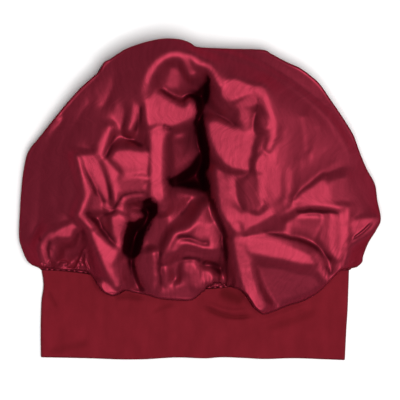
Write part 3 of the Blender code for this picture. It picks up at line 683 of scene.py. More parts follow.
def settled(
    pull: Callable[[Array], Array],
    wanted: Array,
    start: Array,
    weight: Callable[[Array], Array],
    passes: int = 40,
) -> Array:
    """Solves for the heights that give the wanted pull (conjugate gradients).

    Args:
        pull: the pull on each cell for given heights.
        wanted: the pull to reach.
        start: the heights to start from.
        weight: about how far a wave of pull moves the heights, by its square turns.
        passes: how many times the heights are bettered.

    Returns:
        The heights.
    """
    heights, rest = start, wanted - pull(start)
    way = step = filtered(rest, weight)
    size = (rest * step).sum()
    for _ in range(passes):
        turned = pull(way)
        share = size / (way * turned).sum()
        heights, rest = heights + share * way, rest - share * turned
        step = filtered(rest, weight)
        size, before = (rest * step).sum(), size
        way = step + size / before * way
    return heights


def nearest_on(path: Array, places: Array) -> tuple[Array, Array]:
    """The number of the path's point that is nearest to each place, and how far off it is.

    Args:
        path: the path's points, one row each.
        places: the places, one row each.

    Returns:
        The number of the nearest point for each place, and its distance.
    """
    gap = np.linalg.norm(places[:, None] - path, axis=-1)
    nearest = gap.argmin(axis=1)
    return nearest, gap[np.arange(len(nearest)), nearest]


def creased(chart: Array, creases: tuple[Crease, ...]) -> Array:
    """How far the creases lift the cloth at each chart point, in metres.

    Args:
        chart: the chart points, along the last axis.
        creases: the creases, where a groove lifts by less than nothing.

    Returns:
        The lift at each point.
    """
    lift = np.zeros(chart.shape[:-1])
    for crease in creases:
        path = smooth_path(crease.points, CREASE_POINTS)
        reach = CREASE_REACH * crease.half_width
        low, high = path.min(axis=0) - reach, path.max(axis=0) + reach
        near = np.all((chart >= low) & (chart <= high), axis=-1)
        if not near.any():
            continue
        nearest, away = nearest_on(path, chart[near])
        share = nearest / (len(path) - 1)
        taper = smooth_step(CREASE_TAPER * np.minimum(share, 1 - share) + CREASE_END)
        fall = np.exp(-((away / crease.half_width) ** 2))
        lift[near] += crease.height * MILLIMETRE * taper * fall
    return lift


def raised(places: Array, heights: Array) -> Array:
    """Places across the table, with their heights."""
    return np.concatenate([places, heights[..., None]], axis=-1)


def directions(vectors: Array) -> Array:
    """The vectors at a length of one."""
    return vectors / np.maximum(np.linalg.norm(vectors, axis=-1, keepdims=True), TINY)


def normals_of(sheet: Array) -> Array:
    """Outward directions over a grid of points."""
    return directions(np.cross(np.gradient(sheet, axis=1), np.gradient(sheet, axis=0)))


def grid_faces(rows: int, columns: int) -> list:
    """The faces of a grid of vertices, facing up.

    Args:
        rows: how many rows of vertices it has.
        columns: how many vertices each row has.

    Returns:
        The four vertex numbers of each face.
    """
    index = np.arange(rows * columns).reshape(rows, columns)
    corners = [index[:-1, :-1], index[:-1, 1:], index[1:, 1:], index[1:, :-1]]
    return np.stack(corners, axis=-1).reshape(-1, 4).tolist()


def linked(name: str, data: bpy.types.ID) -> bpy.types.Object:
    """A new object that shows the data, linked to the scene.

    Args:
        name: the object's name.
        data: its mesh, light or camera.

    Returns:
        The object, at the origin.
    """
    item = bpy.data.objects.new(name, data)
    bpy.context.scene.collection.objects.link(item)
    return item


def mesh_object(name: str, points: Array, faces: list) -> bpy.types.Object:
    """A smooth mesh object at the origin, linked to the scene.

    Args:
        name: the name of the mesh and the object.
        points: the vertices, along the last axis.
        faces: the vertex numbers of each face.

    Returns:
        The object.
    """
    data = bpy.data.meshes.new(name)
    data.from_pydata(points.reshape(-1, 3).tolist(), [], faces)
    data.shade_smooth()
    data.update()
    return linked(name, data)


@dataclass
class Plate:
    """A facet on the height grid: its cells, the ring around them, and its own slope."""

    cells: tuple[Array, Array]
    slope: Array
    ring: tuple[Array, Array]
    ring_slope: Array
    height: float


@dataclass
class ClothHeights:
    """Heights over the chart: satin stretched between its folds and facets.

    Args:
        edge: the height beyond the outline, in mm.
        lift: how far the air in the cloth lifts it, mm per square pixel.
        passes: how many times the cloth settles at each step.
        holding: how firmly a facet keeps its own height, from 0 to 1.
        full_height: above this, in mm, heights are compressed.
        compression: how much of the height above that is kept.
        facet_step: facets and wide folds are held from this step on.
        facet_margin: how far past its outline a facet is held, in chart pixels.
        fold_margin: how far past its half width a wide fold is held.
        free_slope: slopes up to this one are kept as they are.
        steepest: the slope that the steepest walls approach.
        steepest_below: that slope deep in the pits.
        pit_level: the heights in mm between which the second gives way to the first.
        wall_give: how much more readily a steep wall gives way than a flat stretch.
        least_firmness: what the steepest wall keeps of a flat stretch's firmness.
        anchoring: how firmly the heights hold while their slopes are eased.
        ridge_radius: how round every ridge is, in mm.
        ridge_reach: how far a ridge's rounding reaches, in chart pixels.
        painted_shade_scales: for each kind of hollow that is painted as shade, its reach in pixels,
            how
        deep it begins and how much deeper it is full, in mm, and its weight.
        line_points: how many points follow each outline while the cloth settles.
        fold_points: how many follow each fold.
        wide_points: how many follow a wide fold while its sides are made level.
        rim_points: how many follow each outline while the hollows are measured.
        steps: chart pixels from one height to the next, from the roughest grid on.
        top: the chart row where the grid begins.
        width: the grid's size across, in chart pixels.
        height: its size down.
        step: the present grid's step.
        cells: the heights in mm, rows by columns.
        steep: the same before their walls are eased.
    """

    edge: float = 12.0
    lift: float = 0.006
    passes: int = 140
    holding: float = 0.4
    full_height: float = 20.0
    compression: float = 0.9
    facet_step: int = 4
    facet_margin: float = 1.4
    fold_margin: float = 1.2
    free_slope: float = 0.3
    steepest: float = 2.2
    steepest_below: float = 5.0
    pit_level: tuple[float, float] = (36.0, 60.0)
    wall_give: float = 4.0
    least_firmness: float = 0.01
    anchoring: float = 0.0003
    ridge_radius: float = 3.0
    ridge_reach: int = 9
    painted_shade_scales: tuple[tuple[int, float, float, float], ...] = (
        (18, 12.0, 14.0, 1.0),
        (4, 0.0, 4.0, 0.6),
    )
    line_points: int = 700
    fold_points: int = 260
    wide_points: int = 90
    rim_points: int = 300
    steps: tuple[int, ...] = (16, 8, 4, 2, 1)
    top: int = 16
    width: int = 400
    height: int = 320
    step: int = 1
    cells: Array | None = None
    steep: Array | None = None

    def settle(self) -> None:
        """Draws the cloth over the folds, from a rough grid to a fine one."""
        outlines = (LEFT_OUTLINE, BACK_OUTLINE, RIGHT_OUTLINE, FRONT_EDGE)
        lines = [smooth_path(line, self.line_points) for line in outlines]
        lines += [smooth_path(fold.points, self.fold_points) for fold in FOLDS]
        points = np.vstack(lines)
        for step in self.steps:
            self.relax(points, step)

    def relax(self, points: Array, step: int) -> None:
        """Settles the cloth at one step, with the given points held.

        Args:
            points: x, y and height of every held point.
            step: chart pixels from one height to the next.
        """
        rows, columns = self.height // step + 1, self.width // step + 1
        row = np.clip(np.rint((points[:, 1] - self.top) / step), 0, rows - 1)
        column = np.clip(np.rint(points[:, 0] / step), 0, columns - 1)
        cell = (row * columns + column).astype(int)
        count = np.bincount(cell, minlength=rows * columns).reshape(rows, columns).astype(float)
        total = np.bincount(cell, points[:, 2], minlength=rows * columns).reshape(rows, columns)
        down, across = np.mgrid[0:rows, 0:columns] * step
        down = down + self.top
        plates: list[Plate] = []
        if step <= self.facet_step:
            self.widen_folds(count, total, across, down)
            charted = (self.plate(facet, count, across, down) for facet in FACETS)
            plates = [plate for plate in charted if len(plate.slope)]
        held = total / np.maximum(count, 1)
        heights = self.started(rows, columns)
        for _ in range(self.passes):
            wide = np.pad(heights, 1, mode="edge")
            around = wide[:-2, 1:-1] + wide[2:, 1:-1] + wide[1:-1, :-2] + wide[1:-1, 2:]
            heights = np.where(count > 0, held, around / 4 + self.lift * step * step)
            for plate in plates:
                drawn = (heights[plate.ring] - plate.ring_slope).mean()
                level = self.holding * plate.height + (1 - self.holding) * drawn
                heights[plate.cells] = plate.slope + level
        self.step, self.cells = step, heights

    def started(self, rows: int, columns: int) -> Array:
        """The heights to settle from: the rougher grid's, or the edge's."""
        if self.cells is None:
            return np.full((rows, columns), self.edge)
        return np.repeat(np.repeat(self.cells, 2, axis=0), 2, axis=1)[:rows, :columns]

    def widen_folds(self, count: Array, total: Array, across: Array, down: Array) -> None:
        """Holds the cells to either side of each wide fold at its own height.

        Args:
            count: how many points hold each cell.
            total: the sum of their heights.
            across: each cell's distance from the chart's left edge.
            down: each cell's distance from its top.
        """
        for fold in FOLDS:
            if fold.half_width == 0:
                continue
            reach = fold.half_width + self.fold_margin
            path = smooth_path(fold.points, self.wide_points)
            low, high = path[:, :2].min(axis=0) - reach, path[:, :2].max(axis=0) + reach
            near = (across >= low[0]) & (across <= high[0]) & (down >= low[1]) & (down <= high[1])
            cells = np.nonzero(near)
            place = np.stack([across[cells], down[cells]], axis=-1)
            nearest, away = nearest_on(path[:, :2], place)
            level = away <= reach
            count[cells] += level
            total[cells] += level * path[nearest, 2]

    def plate(self, facet: Facet, count: Array, across: Array, down: Array) -> Plate:
        """The cells of one facet that no fold holds, and its slope over them.

        Args:
            facet: the facet.
            count: how many points hold each cell.
            across: each cell's distance from the chart's left edge.
            down: each cell's distance from its top.

        Returns:
            The facet's cells and the ring around them.
        """
        outline = np.array(facet.outline, float)
        middle = outline.mean(axis=0)
        spokes = outline - middle
        reach = np.linalg.norm(spokes, axis=1, keepdims=True)
        within = inside(middle + spokes * (1 + self.facet_margin / reach), across, down)
        within &= count == 0
        slope = facet.rise_right * (across - middle[0]) + facet.rise_down * (down - middle[1])
        if facet.crown:
            half = np.ptp(outline, axis=0) / 2
            away = ((across - middle[0]) / half[0]) ** 2 + ((down - middle[1]) / half[1]) ** 2
            slope = slope + facet.crown * np.clip(1 - away, 0, 1)
        ring = np.zeros_like(within)
        ring[1:] |= within[:-1]
        ring[:-1] |= within[1:]
        ring[:, 1:] |= within[:, :-1]
        ring[:, :-1] |= within[:, 1:]
        ring &= ~within
        cells, edge = np.nonzero(within), np.nonzero(ring)
        return Plate(cells, slope[cells], edge, slope[edge], facet.height)

    def soften(self, before: int, after: int) -> None:
        """Compresses the tallest folds, eases the steepest walls and rounds the ridges.

        Args:
            before: how many times the heights are smoothed before that.
            after: how many times they are smoothed after it.
        """
        self.smooth(before)
        above = np.maximum(self.cells - self.full_height, 0)
        self.cells = np.minimum(self.cells, self.full_height) + above * self.compression
        self.steep = self.cells
        self.ease_walls()
        self.round_ridges()
        self.smooth(after)

    def smooth(self, passes: int) -> None:
        """Evens out the heights from cell to cell."""
        for _ in range(passes):
            wide = np.pad(self.cells, 1, mode="edge")
            across = wide[:, :-2] + 2 * wide[:, 1:-1] + wide[:, 2:]
            self.cells = (across[:-2] + 2 * across[1:-1] + across[2:]) / 16

    def ease_walls(self) -> None:
        """Makes the steepest walls less steep while flatter stretches keep their slopes."""
        across, down = slopes_of(self.cells)
        slope = np.hypot(across, down) / PIXEL_IN_MM
        low, high = self.pit_level
        deep = 1 - smooth_step((self.cells - low) / (high - low))
        span = self.steepest + (self.steepest_below - self.steepest) * deep - self.free_slope
        steep = 1 - np.exp(-np.maximum(slope - self.free_slope, 0) / span)
        eased = np.minimum(slope, self.free_slope) + span * steep
        share = eased / np.maximum(slope, 1e-6)
        firm = np.maximum(share**self.wall_give, self.least_firmness)

        def pull(heights: Array) -> Array:
            """What the slopes and the anchoring draw from each cell."""
            right, below = slopes_of(heights)
            return bend_of(firm * right, firm * below) + self.anchoring * heights

        wanted = bend_of(firm * share * across, firm * share * down)
        wanted += self.anchoring * self.cells
        even = float(np.median(firm))
        self.cells = settled(
            pull, wanted, self.cells, lambda wave: 1 / (even * wave + self.anchoring)
        )

    def round_ridges(self) -> None:
        """Lays a rounded cover over every ridge and leaves the valleys sharp."""
        drop = PIXEL_IN_MM**2 / (2 * self.ridge_radius)
        for away, moved in moved_about(self.cells, self.ridge_reach):
            self.cells = np.maximum(self.cells, moved - away * drop)

    def hollows(self) -> Array:
        """How far each cell lies in a hollow or a sharp crease, from 0 to 1, for painted shade.

        The hollows are measured before their walls are eased.

        Returns:
            The share at each cell, which darkens its colour as painted shade.
        """
        down, across = np.mgrid[0 : self.cells.shape[0], 0 : self.cells.shape[1]]
        sides = (LEFT_OUTLINE, BACK_OUTLINE, RIGHT_OUTLINE[::-1], FRONT_EDGE[::-1])
        outline = np.vstack([smooth_path(side, self.rim_points)[:, :2] for side in sides])
        within = inside(outline, across, down + self.top)
        cells = np.where(within, self.steep, 0)
        shade = np.ones_like(cells)
        for reach, start, depth, share in self.painted_shade_scales:
            filled = -highest(-highest(cells, reach), reach)
            shade *= 1 - share * smooth_step((filled - cells - start) / depth)
        return 1 - shade

    def at(self, chart: Array, cells: Array | None = None) -> Array:
        """The height in metres at each chart point, or another value over the cells.

        Args:
            chart: the chart points, along the last axis.
            cells: the other value at each cell, if the height isn't wanted.

        Returns:
            The height, or the value, at each point.
        """
        if cells is not None:
            return ClothHeights(cells=cells).at(chart) / MILLIMETRE
        rows, columns = self.cells.shape
        row = np.clip((chart[..., 1] - self.top) / self.step, 0, rows - 1.001)
        column = np.clip(chart[..., 0] / self.step, 0, columns - 1.001)
        y, x = row.astype(int), column.astype(int)
        v, u = row - y, column - x
        upper = self.cells[y, x] * (1 - u) + self.cells[y, x + 1] * u
        lower = self.cells[y + 1, x] * (1 - u) + self.cells[y + 1, x + 1] * u
        return (upper * (1 - v) + lower * v) * MILLIMETRE


class Nodes:
    """Adds shader nodes to a material and joins them."""

    def __init__(self, name: str) -> None:
        """Starts a material with a principled shader.

        Args:
            name: the material's name.
        """
        self.material = bpy.data.materials.new(name)
        self.material.use_nodes = True
        self.tree = self.material.node_tree
        self.shader = self.tree.nodes["Principled BSDF"]

    def add(self, kind: str, **settings: object) -> bpy.types.Node:
        """A new node, with settings for its attributes, or for its sockets by name.

        Args:
            kind: the node's type.
            **settings: the value of each attribute, or of each socket, in small letters.

        Returns:
            The node.
        """
        node = self.tree.nodes.new(kind)
        for name, value in settings.items():
            if hasattr(node, name):
                setattr(node, name, value)
            else:
                node.inputs[name.replace("_", " ").title()].default_value = value
        return node

    def join(self, start: bpy.types.NodeSocket, end: bpy.types.NodeSocket) -> None:
        """Links an output to an input."""
        self.tree.links.new(start, end)

    def noise(
        self,
        where: bpy.types.NodeSocket,
        stretch: tuple[float, float, float],
        turn: float = 0.0,
        detail: float = 3.0,
    ) -> bpy.types.NodeSocket:
        """A noise pattern.

        Args:
            where: the coordinates it reads.
            stretch: its features per metre along each axis.
            turn: how far it is turned about the third axis, in radians.
            detail: how many finer layers it has.

        Returns:
            The socket that carries its value.
        """
        mapping = self.add("ShaderNodeMapping")
        mapping.inputs["Scale"].default_value = stretch
        mapping.inputs["Rotation"].default_value = (0, 0, turn)
        self.join(where, mapping.inputs["Vector"])
        pattern = self.add("ShaderNodeTexNoise", scale=1.0, detail=detail)
        self.join(mapping.outputs["Vector"], pattern.inputs["Vector"])
        return pattern.outputs["Fac"]

    def threads(
        self, where: bpy.types.NodeSocket, pitch: float, direction: str, wobble: float
    ) -> bpy.types.NodeSocket:
        """Fine parallel threads.

        Args:
            where: the coordinates they follow.
            pitch: metres from one thread to the next.
            direction: the axis that the pattern crosses, X, Y or DIAGONAL.
            wobble: how unevenly they run.

        Returns:
            The socket that carries their height.
        """
        # A wave texture's own period is a twentieth of two pi at scale one.
        scale = 2 * math.pi / 20 / pitch
        pattern = self.add("ShaderNodeTexWave", bands_direction=direction, scale=scale)
        pattern.inputs["Distortion"].default_value = wobble
        pattern.inputs["Detail Scale"].default_value = 1.0
        self.join(where, pattern.inputs["Vector"])
        return pattern.outputs["Fac"]

    def raise_by(
        self,
        pattern: bpy.types.NodeSocket,
        height: float,
        strength: float,
        below: bpy.types.NodeSocket | None = None,
    ) -> bpy.types.NodeSocket:
        """Bends the light as if the pattern stood up from the cloth.

        Args:
            pattern: the pattern, from 0 to 1.
            height: how far it stands up, in metres.
            strength: how much of that shows.
            below: the normal that this one adds to.

        Returns:
            The socket that carries the new normal.
        """
        bump = self.add("ShaderNodeBump", strength=strength, distance=height)
        self.join(pattern, bump.inputs["Height"])
        if below is not None:
            self.join(below, bump.inputs["Normal"])
        return bump.outputs["Normal"]

    def tint(
        self,
        pattern: bpy.types.NodeSocket,
        dark: tuple[float, float, float],
        light: tuple[float, float, float],
        span: tuple[float, float],
    ) -> bpy.types.NodeSocket:
        """Colours between two shades by a pattern's value within a span.

        Args:
            pattern: the pattern, from 0 to 1.
            dark: the shade at the low end of the span.
            light: the shade at its high end.
            span: the values between which the shade changes.

        Returns:
            The socket that carries the colour.
        """
        ramp = self.add("ShaderNodeValToRGB")
        low, high = ramp.color_ramp.elements
        low.position, high.position = span
        low.color, high.color = (*dark, 1), (*light, 1)
        self.join(pattern, ramp.inputs["Fac"])
        return ramp.outputs["Color"]

    def painted_hollow_shade(
        self, shade: bpy.types.NodeSocket, painted_shade_factor: tuple[float, float, float]
    ) -> bpy.types.NodeSocket:
        """The colour with painted shade: darker where the cloth is marked as lying in a hollow.

        Args:
            shade: the colour of level cloth.
            painted_shade_factor: what the colour is multiplied by as painted shade where the mark
                is full.

        Returns:
            The socket that carries the colour.
        """
        # Painted shade: the hollow mark darkens the colour towards the given factor.
        hollow = self.add("ShaderNodeAttribute", attribute_name="hollow").outputs["Fac"]
        product = self.add("ShaderNodeVectorMath", operation="MULTIPLY")
        self.join(shade, product.inputs[0])
        self.join(self.tint(hollow, (1, 1, 1), painted_shade_factor, (0, 1)), product.inputs[1])
        return product.outputs["Vector"]


@dataclass(frozen=True)
class SatinFinish:
    """Wine-red satin: a tinted gloss over a deep body colour, with its weave and crumple."""

    dark: tuple[float, float, float] = (0.216, 0.0180, 0.0352)
    light: tuple[float, float, float] = (0.252, 0.0216, 0.0420)
    edge: tuple[float, float, float] = (0.14, 0.012, 0.023)
    # painted shade: the colour is multiplied by this where the hollow mark is full
    painted_shade_factor: tuple[float, float, float] = (0.11, 0.05, 0.08)
    roughness: float = 0.51
    metallic: float = 0.66
    crumple_pattern: tuple[float, float, float] = (58, 58, 58)
    crumple_height: float = 0.0011
    crumple_strength: float = 0.55
    streak_pattern: tuple[float, float, float] = (260, 46, 1)
    streak_turn: float = 0.25
    streak_height: float = 0.00030
    streak_strength: float = 0.5
    streak_span: tuple[float, float] = (0.3, 0.7)
    thread_pitch: float = 0.0005
    thread_wobble: float = 0.4
    thread_height: float = 0.00003
    thread_strength: float = 0.35

    def material(self) -> bpy.types.Material:
        """The material: weave on the cloth's own coordinates, crumple through the piece.

        Returns:
            The satin.
        """
        nodes = Nodes("wine_satin")
        cloth = nodes.add("ShaderNodeUVMap", uv_map="cloth").outputs["UV"]
        place = nodes.add("ShaderNodeTexCoord").outputs["Object"]
        crumple = nodes.noise(place, self.crumple_pattern, detail=2.5)
        streaks = nodes.noise(cloth, self.streak_pattern, turn=self.streak_turn, detail=2.0)
        weave = nodes.threads(cloth, self.thread_pitch, "DIAGONAL", self.thread_wobble)
        normal = nodes.raise_by(crumple, self.crumple_height, self.crumple_strength)
        normal = nodes.raise_by(streaks, self.streak_height, self.streak_strength, below=normal)
        normal = nodes.raise_by(weave, self.thread_height, self.thread_strength, below=normal)
        nodes.join(normal, nodes.shader.inputs["Normal"])
        shade = nodes.tint(streaks, self.dark, self.light, self.streak_span)
        # The base colour takes painted shade in hollows and creases, from the hollow mark.
        nodes.join(nodes.painted_hollow_shade(shade, self.painted_shade_factor), nodes.shader.inputs["Base Color"])
        nodes.shader.inputs["Roughness"].default_value = self.roughness
        nodes.shader.inputs["Metallic"].default_value = self.metallic
        nodes.shader.inputs["Specular IOR Level"].default_value = 0
        nodes.shader.inputs["Specular Tint"].default_value = (*self.edge, 1)
        return nodes.material


@dataclass(frozen=True)
class JerseyFinish:
    """Matt wine-red stretch jersey with fine upright ribs and a little lint."""

    dark: tuple[float, float, float] = (0.146, 0.0056, 0.0122)
    light: tuple[float, float, float] = (0.176, 0.0074, 0.0158)
    # painted shade: the colour is multiplied by this where the groove mark is full
    painted_shade_factor: tuple[float, float, float] = (0.5, 0.3, 0.3)
    roughness: float = 0.9
    specular: float = 0.12
    rib_pitch: float = 0.0011
    rib_wobble: float = 0.6
    rib_height: float = 0.00010
    rib_strength: float = 0.5
    fuzz_pattern: tuple[float, float, float] = (900, 500, 900)
    fuzz_height: float = 0.00025
    fuzz_strength: float = 0.4
    mottle_pattern: tuple[float, float, float] = (90, 45, 90)
    mottle_span: tuple[float, float] = (0.3, 0.7)

    def material(self) -> bpy.types.Material:
        """The material, as nodes on the band's own coordinates.

        Returns:
            The jersey.
        """
        nodes = Nodes("wine_jersey")
        place = nodes.add("ShaderNodeTexCoord").outputs["Object"]
        ribs = nodes.threads(place, self.rib_pitch, "X", self.rib_wobble)
        fuzz = nodes.noise(place, self.fuzz_pattern)
        mottle = nodes.noise(place, self.mottle_pattern)
        normal = nodes.raise_by(ribs, self.rib_height, self.rib_strength)
        normal = nodes.raise_by(fuzz, self.fuzz_height, self.fuzz_strength, below=normal)
        nodes.join(normal, nodes.shader.inputs["Normal"])
        shade = nodes.tint(mottle, self.dark, self.light, self.mottle_span)
        # The base colour takes painted shade in the band's grooves, from the hollow mark.
        nodes.join(nodes.painted_hollow_shade(shade, self.painted_shade_factor), nodes.shader.inputs["Base Color"])
        nodes.shader.inputs["Roughness"].default_value = self.roughness
        nodes.shader.inputs["Specular IOR Level"].default_value = self.specular
        return nodes.material


@dataclass(frozen=True)
class Gathers:
    """The uneven small pleats that the seam draws into the satin."""

    pitch: float = 0.0048
    slow_pitch: float = 0.021
    slower_pitch: float = 0.037
    drift: tuple[float, float] = (1.7, 1.1)  # radians that the slow waves shift them by
    start: float = 0.6
    swing: float = 0.25  # how much of their height comes and goes
    depth: float = 0.0013
    reach: float = 0.011
    least: float = 0.15  # what is left of them where the satin hangs over the seam
    start_under: float = 0.004  # from the seam to their full height underneath

    def ripple(self, along: Array) -> Array:
        """Uneven waves at lengths along the seam in metres, from -1 to 1.

        Args:
            along: the lengths.

        Returns:
            The wave's height at each.
        """
        turn = 2 * np.pi * along
        slow, slower = turn / self.slow_pitch, turn / self.slower_pitch
        drift = self.drift[0] * np.sin(slow + self.start) + self.drift[1] * np.sin(slower)
        return np.sin(turn / self.pitch + drift) * (1 - self.swing + self.swing * np.cos(slow))


@dataclass
class Crown:
    """The satin bag: gathered at the seam, slumped in folds, and flat where it lies."""

    columns: int = 289
    column_crowding: float = 0.30
    fold_rows: int = 217
    row_crowding: float = 0.35
    overhang_rows: int = 9
    coarse_step: int = 3
    edge_points: int = 900
    side_points: int = 600
    roll_points: int = 300
    wall: float = 0.0008
    pinched_wall: float = 0.0001
    inner_scale: float = 0.985
    side_rise: float = 0.012
    side_growth: float = 0.030
    edge_roll: float = 0.0020
    front_rise: float = 0.007
    front_roll: float = 0.0022
    front_fade: float = 0.0132
    corner_share: float = 0.05
    softening: tuple[int, int] = (1, 4)
    near_seam: float = 0.008
    turns: tuple[tuple[float, float], ...] = ((0.0030, 0.0006), (0.0034, 0.0032), (0.0010, 0.0050))
    flat_size: tuple[float, float] = (0.56, 0.48)
    flat_area: float = 0.205
    gathers: Gathers = field(default_factory=Gathers)
    finish: SatinFinish = field(default_factory=SatinFinish)
    # share of painted shade at each point of the upper sheet
    hollow: Array | None = None

    def build(self) -> bpy.types.Object:
        """Makes the crown, hangs it on the root body and hides the model's crown part.

        Returns:
            The piece.
        """
        shares = even_at_edges(self.columns, self.column_crowding)
        along = even_at_edges(self.fold_rows, self.row_crowding)
        upper = self.upper_sheet(shares, along)
        lower = self.lower_sheet(shares, upper)
        piece = self.bag(upper, lower)
        piece.data.materials.append(self.finish.material())
        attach(piece, "root")
        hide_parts("crown")
        return piece

    def side_height(self, place: Array) -> Array:
        """The height of the widest line at each row: low at the seam, then full."""
        share = smooth_step(travelled(place[:, 0, :2]) / self.side_growth)
        return BAND_SIDE_RADIUS + (self.side_rise - BAND_SIDE_RADIUS) * share[:, None]

    def upper_sheet(self, shares: Array, along: Array) -> Array:
        """The upper sheet, from the seam, over the front folds, to the back.

        Args:
            shares: the share of the way across at each column.
            along: the share of the way back at each row behind the front edge.

        Returns:
            The outer points, rows by columns.
        """
        seam = plan(resample(seam_path(SEAM_POINTS), shares))
        seam_height, _ = tube_heights(shares, seam, BAND_RISE_AT_SEAM)
        front_path = smooth_path(FRONT_EDGE, self.edge_points)[:, :2]
        front_x = np.interp(shares, (0, 1), (FRONT_EDGE[0][0], FRONT_EDGE[-1][0]))
        front_y = np.interp(front_x, front_path[:, 0], front_path[:, 1])
        front = np.column_stack([front_x, front_y])
        chart = spanned(
            front,
            resample(smooth_path(BACK_OUTLINE, self.edge_points)[:, :2], shares),
            resample(smooth_path(LEFT_OUTLINE, self.side_points)[:, :2], along),
            resample(smooth_path(RIGHT_OUTLINE, self.side_points)[:, :2], along),
            shares,
            along,
        )
        front_height = seam_height + self.front_rise
        under = self.overhang(shares, seam, seam_height, plan(front), front_height)

        cloth = ClothHeights()
        cloth.settle()
        cloth.soften(*self.softening)
        place = plan(chart)
        roll_line = resample(front_path, np.linspace(0, 1, self.roll_points))
        front_distance = distance_to(place, plan(roll_line))
        fade = 1 - smooth_step(front_distance / self.front_fade)
        base = self.side_rise + (front_height - self.side_rise) * fade
        rolled = quarter_round(front_distance / self.front_roll)
        heights = base + (cloth.at(chart) + creased(chart, SATIN_CREASES) - base) * rolled
        sheet = np.concatenate([under, raised(place, heights)])
        nothing = np.zeros(under.shape[:2])
        # Painted shade: how far each point lies in a hollow darkens its colour.
        self.hollow = np.concatenate([nothing, cloth.at(chart, cloth.hollows())])

        edge = np.vstack([sheet[::2, 0, :2], sheet[-1, ::2, :2], sheet[::-2, -1, :2]])
        low = self.side_height(sheet)
        radius = low * self.edge_roll / self.side_rise
        side = distance_to(sheet[..., :2], edge)
        side[:, [0, -1]] = 0
        side[-1] = 0
        sheet[..., 2] = low + (sheet[..., 2] - low) * quarter_round(side / radius)
        away = np.concatenate([nothing, front_distance])
        return self.gathered(sheet, away, np.linalg.norm(plan(front) - seam, axis=-1))

    def overhang(
        self, shares: Array, seam: Array, seam_height: Array, front: Array, front_height: Array
    ) -> Array:
        """Rows from the seam to just under the front edge: out of the seam, up, and forward.

        Args:
            shares: the share of the way across at each column.
            seam: where each column leaves the seam.
            seam_height: how high the seam lies there.
            front: where each column reaches the front edge.
            front_height: how high that edge is.

        Returns:
            The points, rows by columns.
        """
        window = smooth_step(np.minimum(shares, 1 - shares) / self.corner_share)
        total = len(self.turns) + self.overhang_rows
        rows = [raised(seam, seam_height)]
        for count, (inward, lift) in enumerate(self.turns, start=1):
            place = seam + (front - seam) * (count / total * (1 - window))[:, None]
            place[:, 1] += inward * window
            rows.append(raised(place, seam_height + lift * window))
        start, low = rows[-1][:, :2], rows[-1][:, 2]
        for count in range(1, self.overhang_rows):
            share = count / self.overhang_rows
            climb = 1 - math.sqrt(1 - share * share)
            place = start + (front - start) * share
            rows.append(raised(place, low + (front_height - low) * climb))
        return np.array(rows)

    def gathered(self, sheet: Array, away: Array, hanging: Array) -> Array:
        """Draws small pleats into the satin where it lies close to the seam.

        Args:
            sheet: the upper sheet's points.
            away: how far each point lies behind the front edge.
            hanging: how far each column's front edge hangs past the seam.

        Returns:
            The pleated points.
        """
        close = 1 - smooth_step(hanging / self.near_seam)
        fade = np.exp(-away / self.gathers.reach) * np.maximum(close, self.gathers.least)
        fade[0] = 0
        fade[:, [0, -1]] = 0
        ripple = self.gathers.ripple(sheet[0, :, 0])
        return sheet + normals_of(sheet) * (fade * ripple * self.gathers.depth)[..., None]

    def lower_sheet(self, shares: Array, upper: Array) -> Array:
        """The under side: flat on the table, rolling up to meet the upper sheet.

        Args:
            shares: the share of the way across at each column.
            upper: the points of the upper sheet.

        Returns:
            The outer points, on the same rows and columns.
        """
        left, right, back = upper[:, 0, :2], upper[:, -1, :2], upper[-1, :, :2]
        along = travelled(left) / travelled(left)[-1]
        place = spanned(upper[0, :, :2], back, left, right, shares, along)
        distance = distance_to(place, np.vstack([left[::2], back[::2], right[::-2]]))
        distance[:, [0, -1]] = 0
        distance[-1] = 0
        low = self.side_height(upper)
        heights = low * (1 - quarter_round(distance / low))
        pleats = 0.5 + 0.5 * self.gathers.ripple(place[..., 0])
        from_seam = np.linalg.norm(place - place[:1], axis=-1)
        fade = smooth_step(from_seam / self.gathers.start_under)
        fade *= np.exp(-from_seam / self.gathers.reach / 2)
        inward = smooth_step(distance / self.edge_roll)
        heights += pleats * fade * inward * self.gathers.depth
        return raised(place, heights)

    def bag(self, upper: Array, lower: Array) -> bpy.types.Object:
        """Joins the sheets and an inner wall into one closed bag, open at the seam.

        Args:
            upper: the outer points of the upper sheet.
            lower: the outer points of the under side, on the same rows and columns.

        Returns:
            The bag, with cloth coordinates on it.
        """
        step, (rows, columns) = self.coarse_step, upper.shape[:2]
        fine = np.arange(rows * columns).reshape(rows, columns)
        shape = fine[::step, ::step].shape
        inner_upper, inner_lower = self.inner_sheets(upper, lower)
        vertices = [upper.reshape(-1, 3)]
        used = rows * columns

        under = np.full(shape, -1)
        under[:, [0, -1]], under[-1] = fine[::step, [0, -1]], fine[-1, ::step]
        free = under < 0
        under[free] = used + np.arange(free.sum())
        vertices.append(lower[::step, ::step][free])
        used += free.sum()

        above = used + np.arange(inner_upper[..., 0].size).reshape(shape)
        vertices.append(inner_upper.reshape(-1, 3))
        used += above.size
        below = above.copy()
        free = np.zeros(shape, bool)
        free[:-1, 1:-1] = True
        below[free] = used + np.arange(free.sum())
        vertices.append(inner_lower[free])

        faces = grid_faces(rows, columns)
        folded = len(faces) * 4
        faces += [ring[::-1] for ring in self.rings(under, fine)]
        faces += [ring[::-1] for ring in self.rings(above)]
        faces += self.rings(below)
        for column in range(shape[1] - 1):
            start, end = column * step, (column + 1) * step
            outer = fine[0, start : end + 1].tolist()
            faces.append([*outer[::-1], int(above[0, column]), int(above[0, column + 1])])
            corners = (under[0, column], under[0, column + 1], below[0, column + 1])
            faces.append([int(corner) for corner in (*corners, below[0, column])])
        points = np.vstack(vertices)
        piece = mesh_object("crown_satin", points, faces)
        self.lay_cloth_coordinates(piece, upper, points, folded)
        return piece

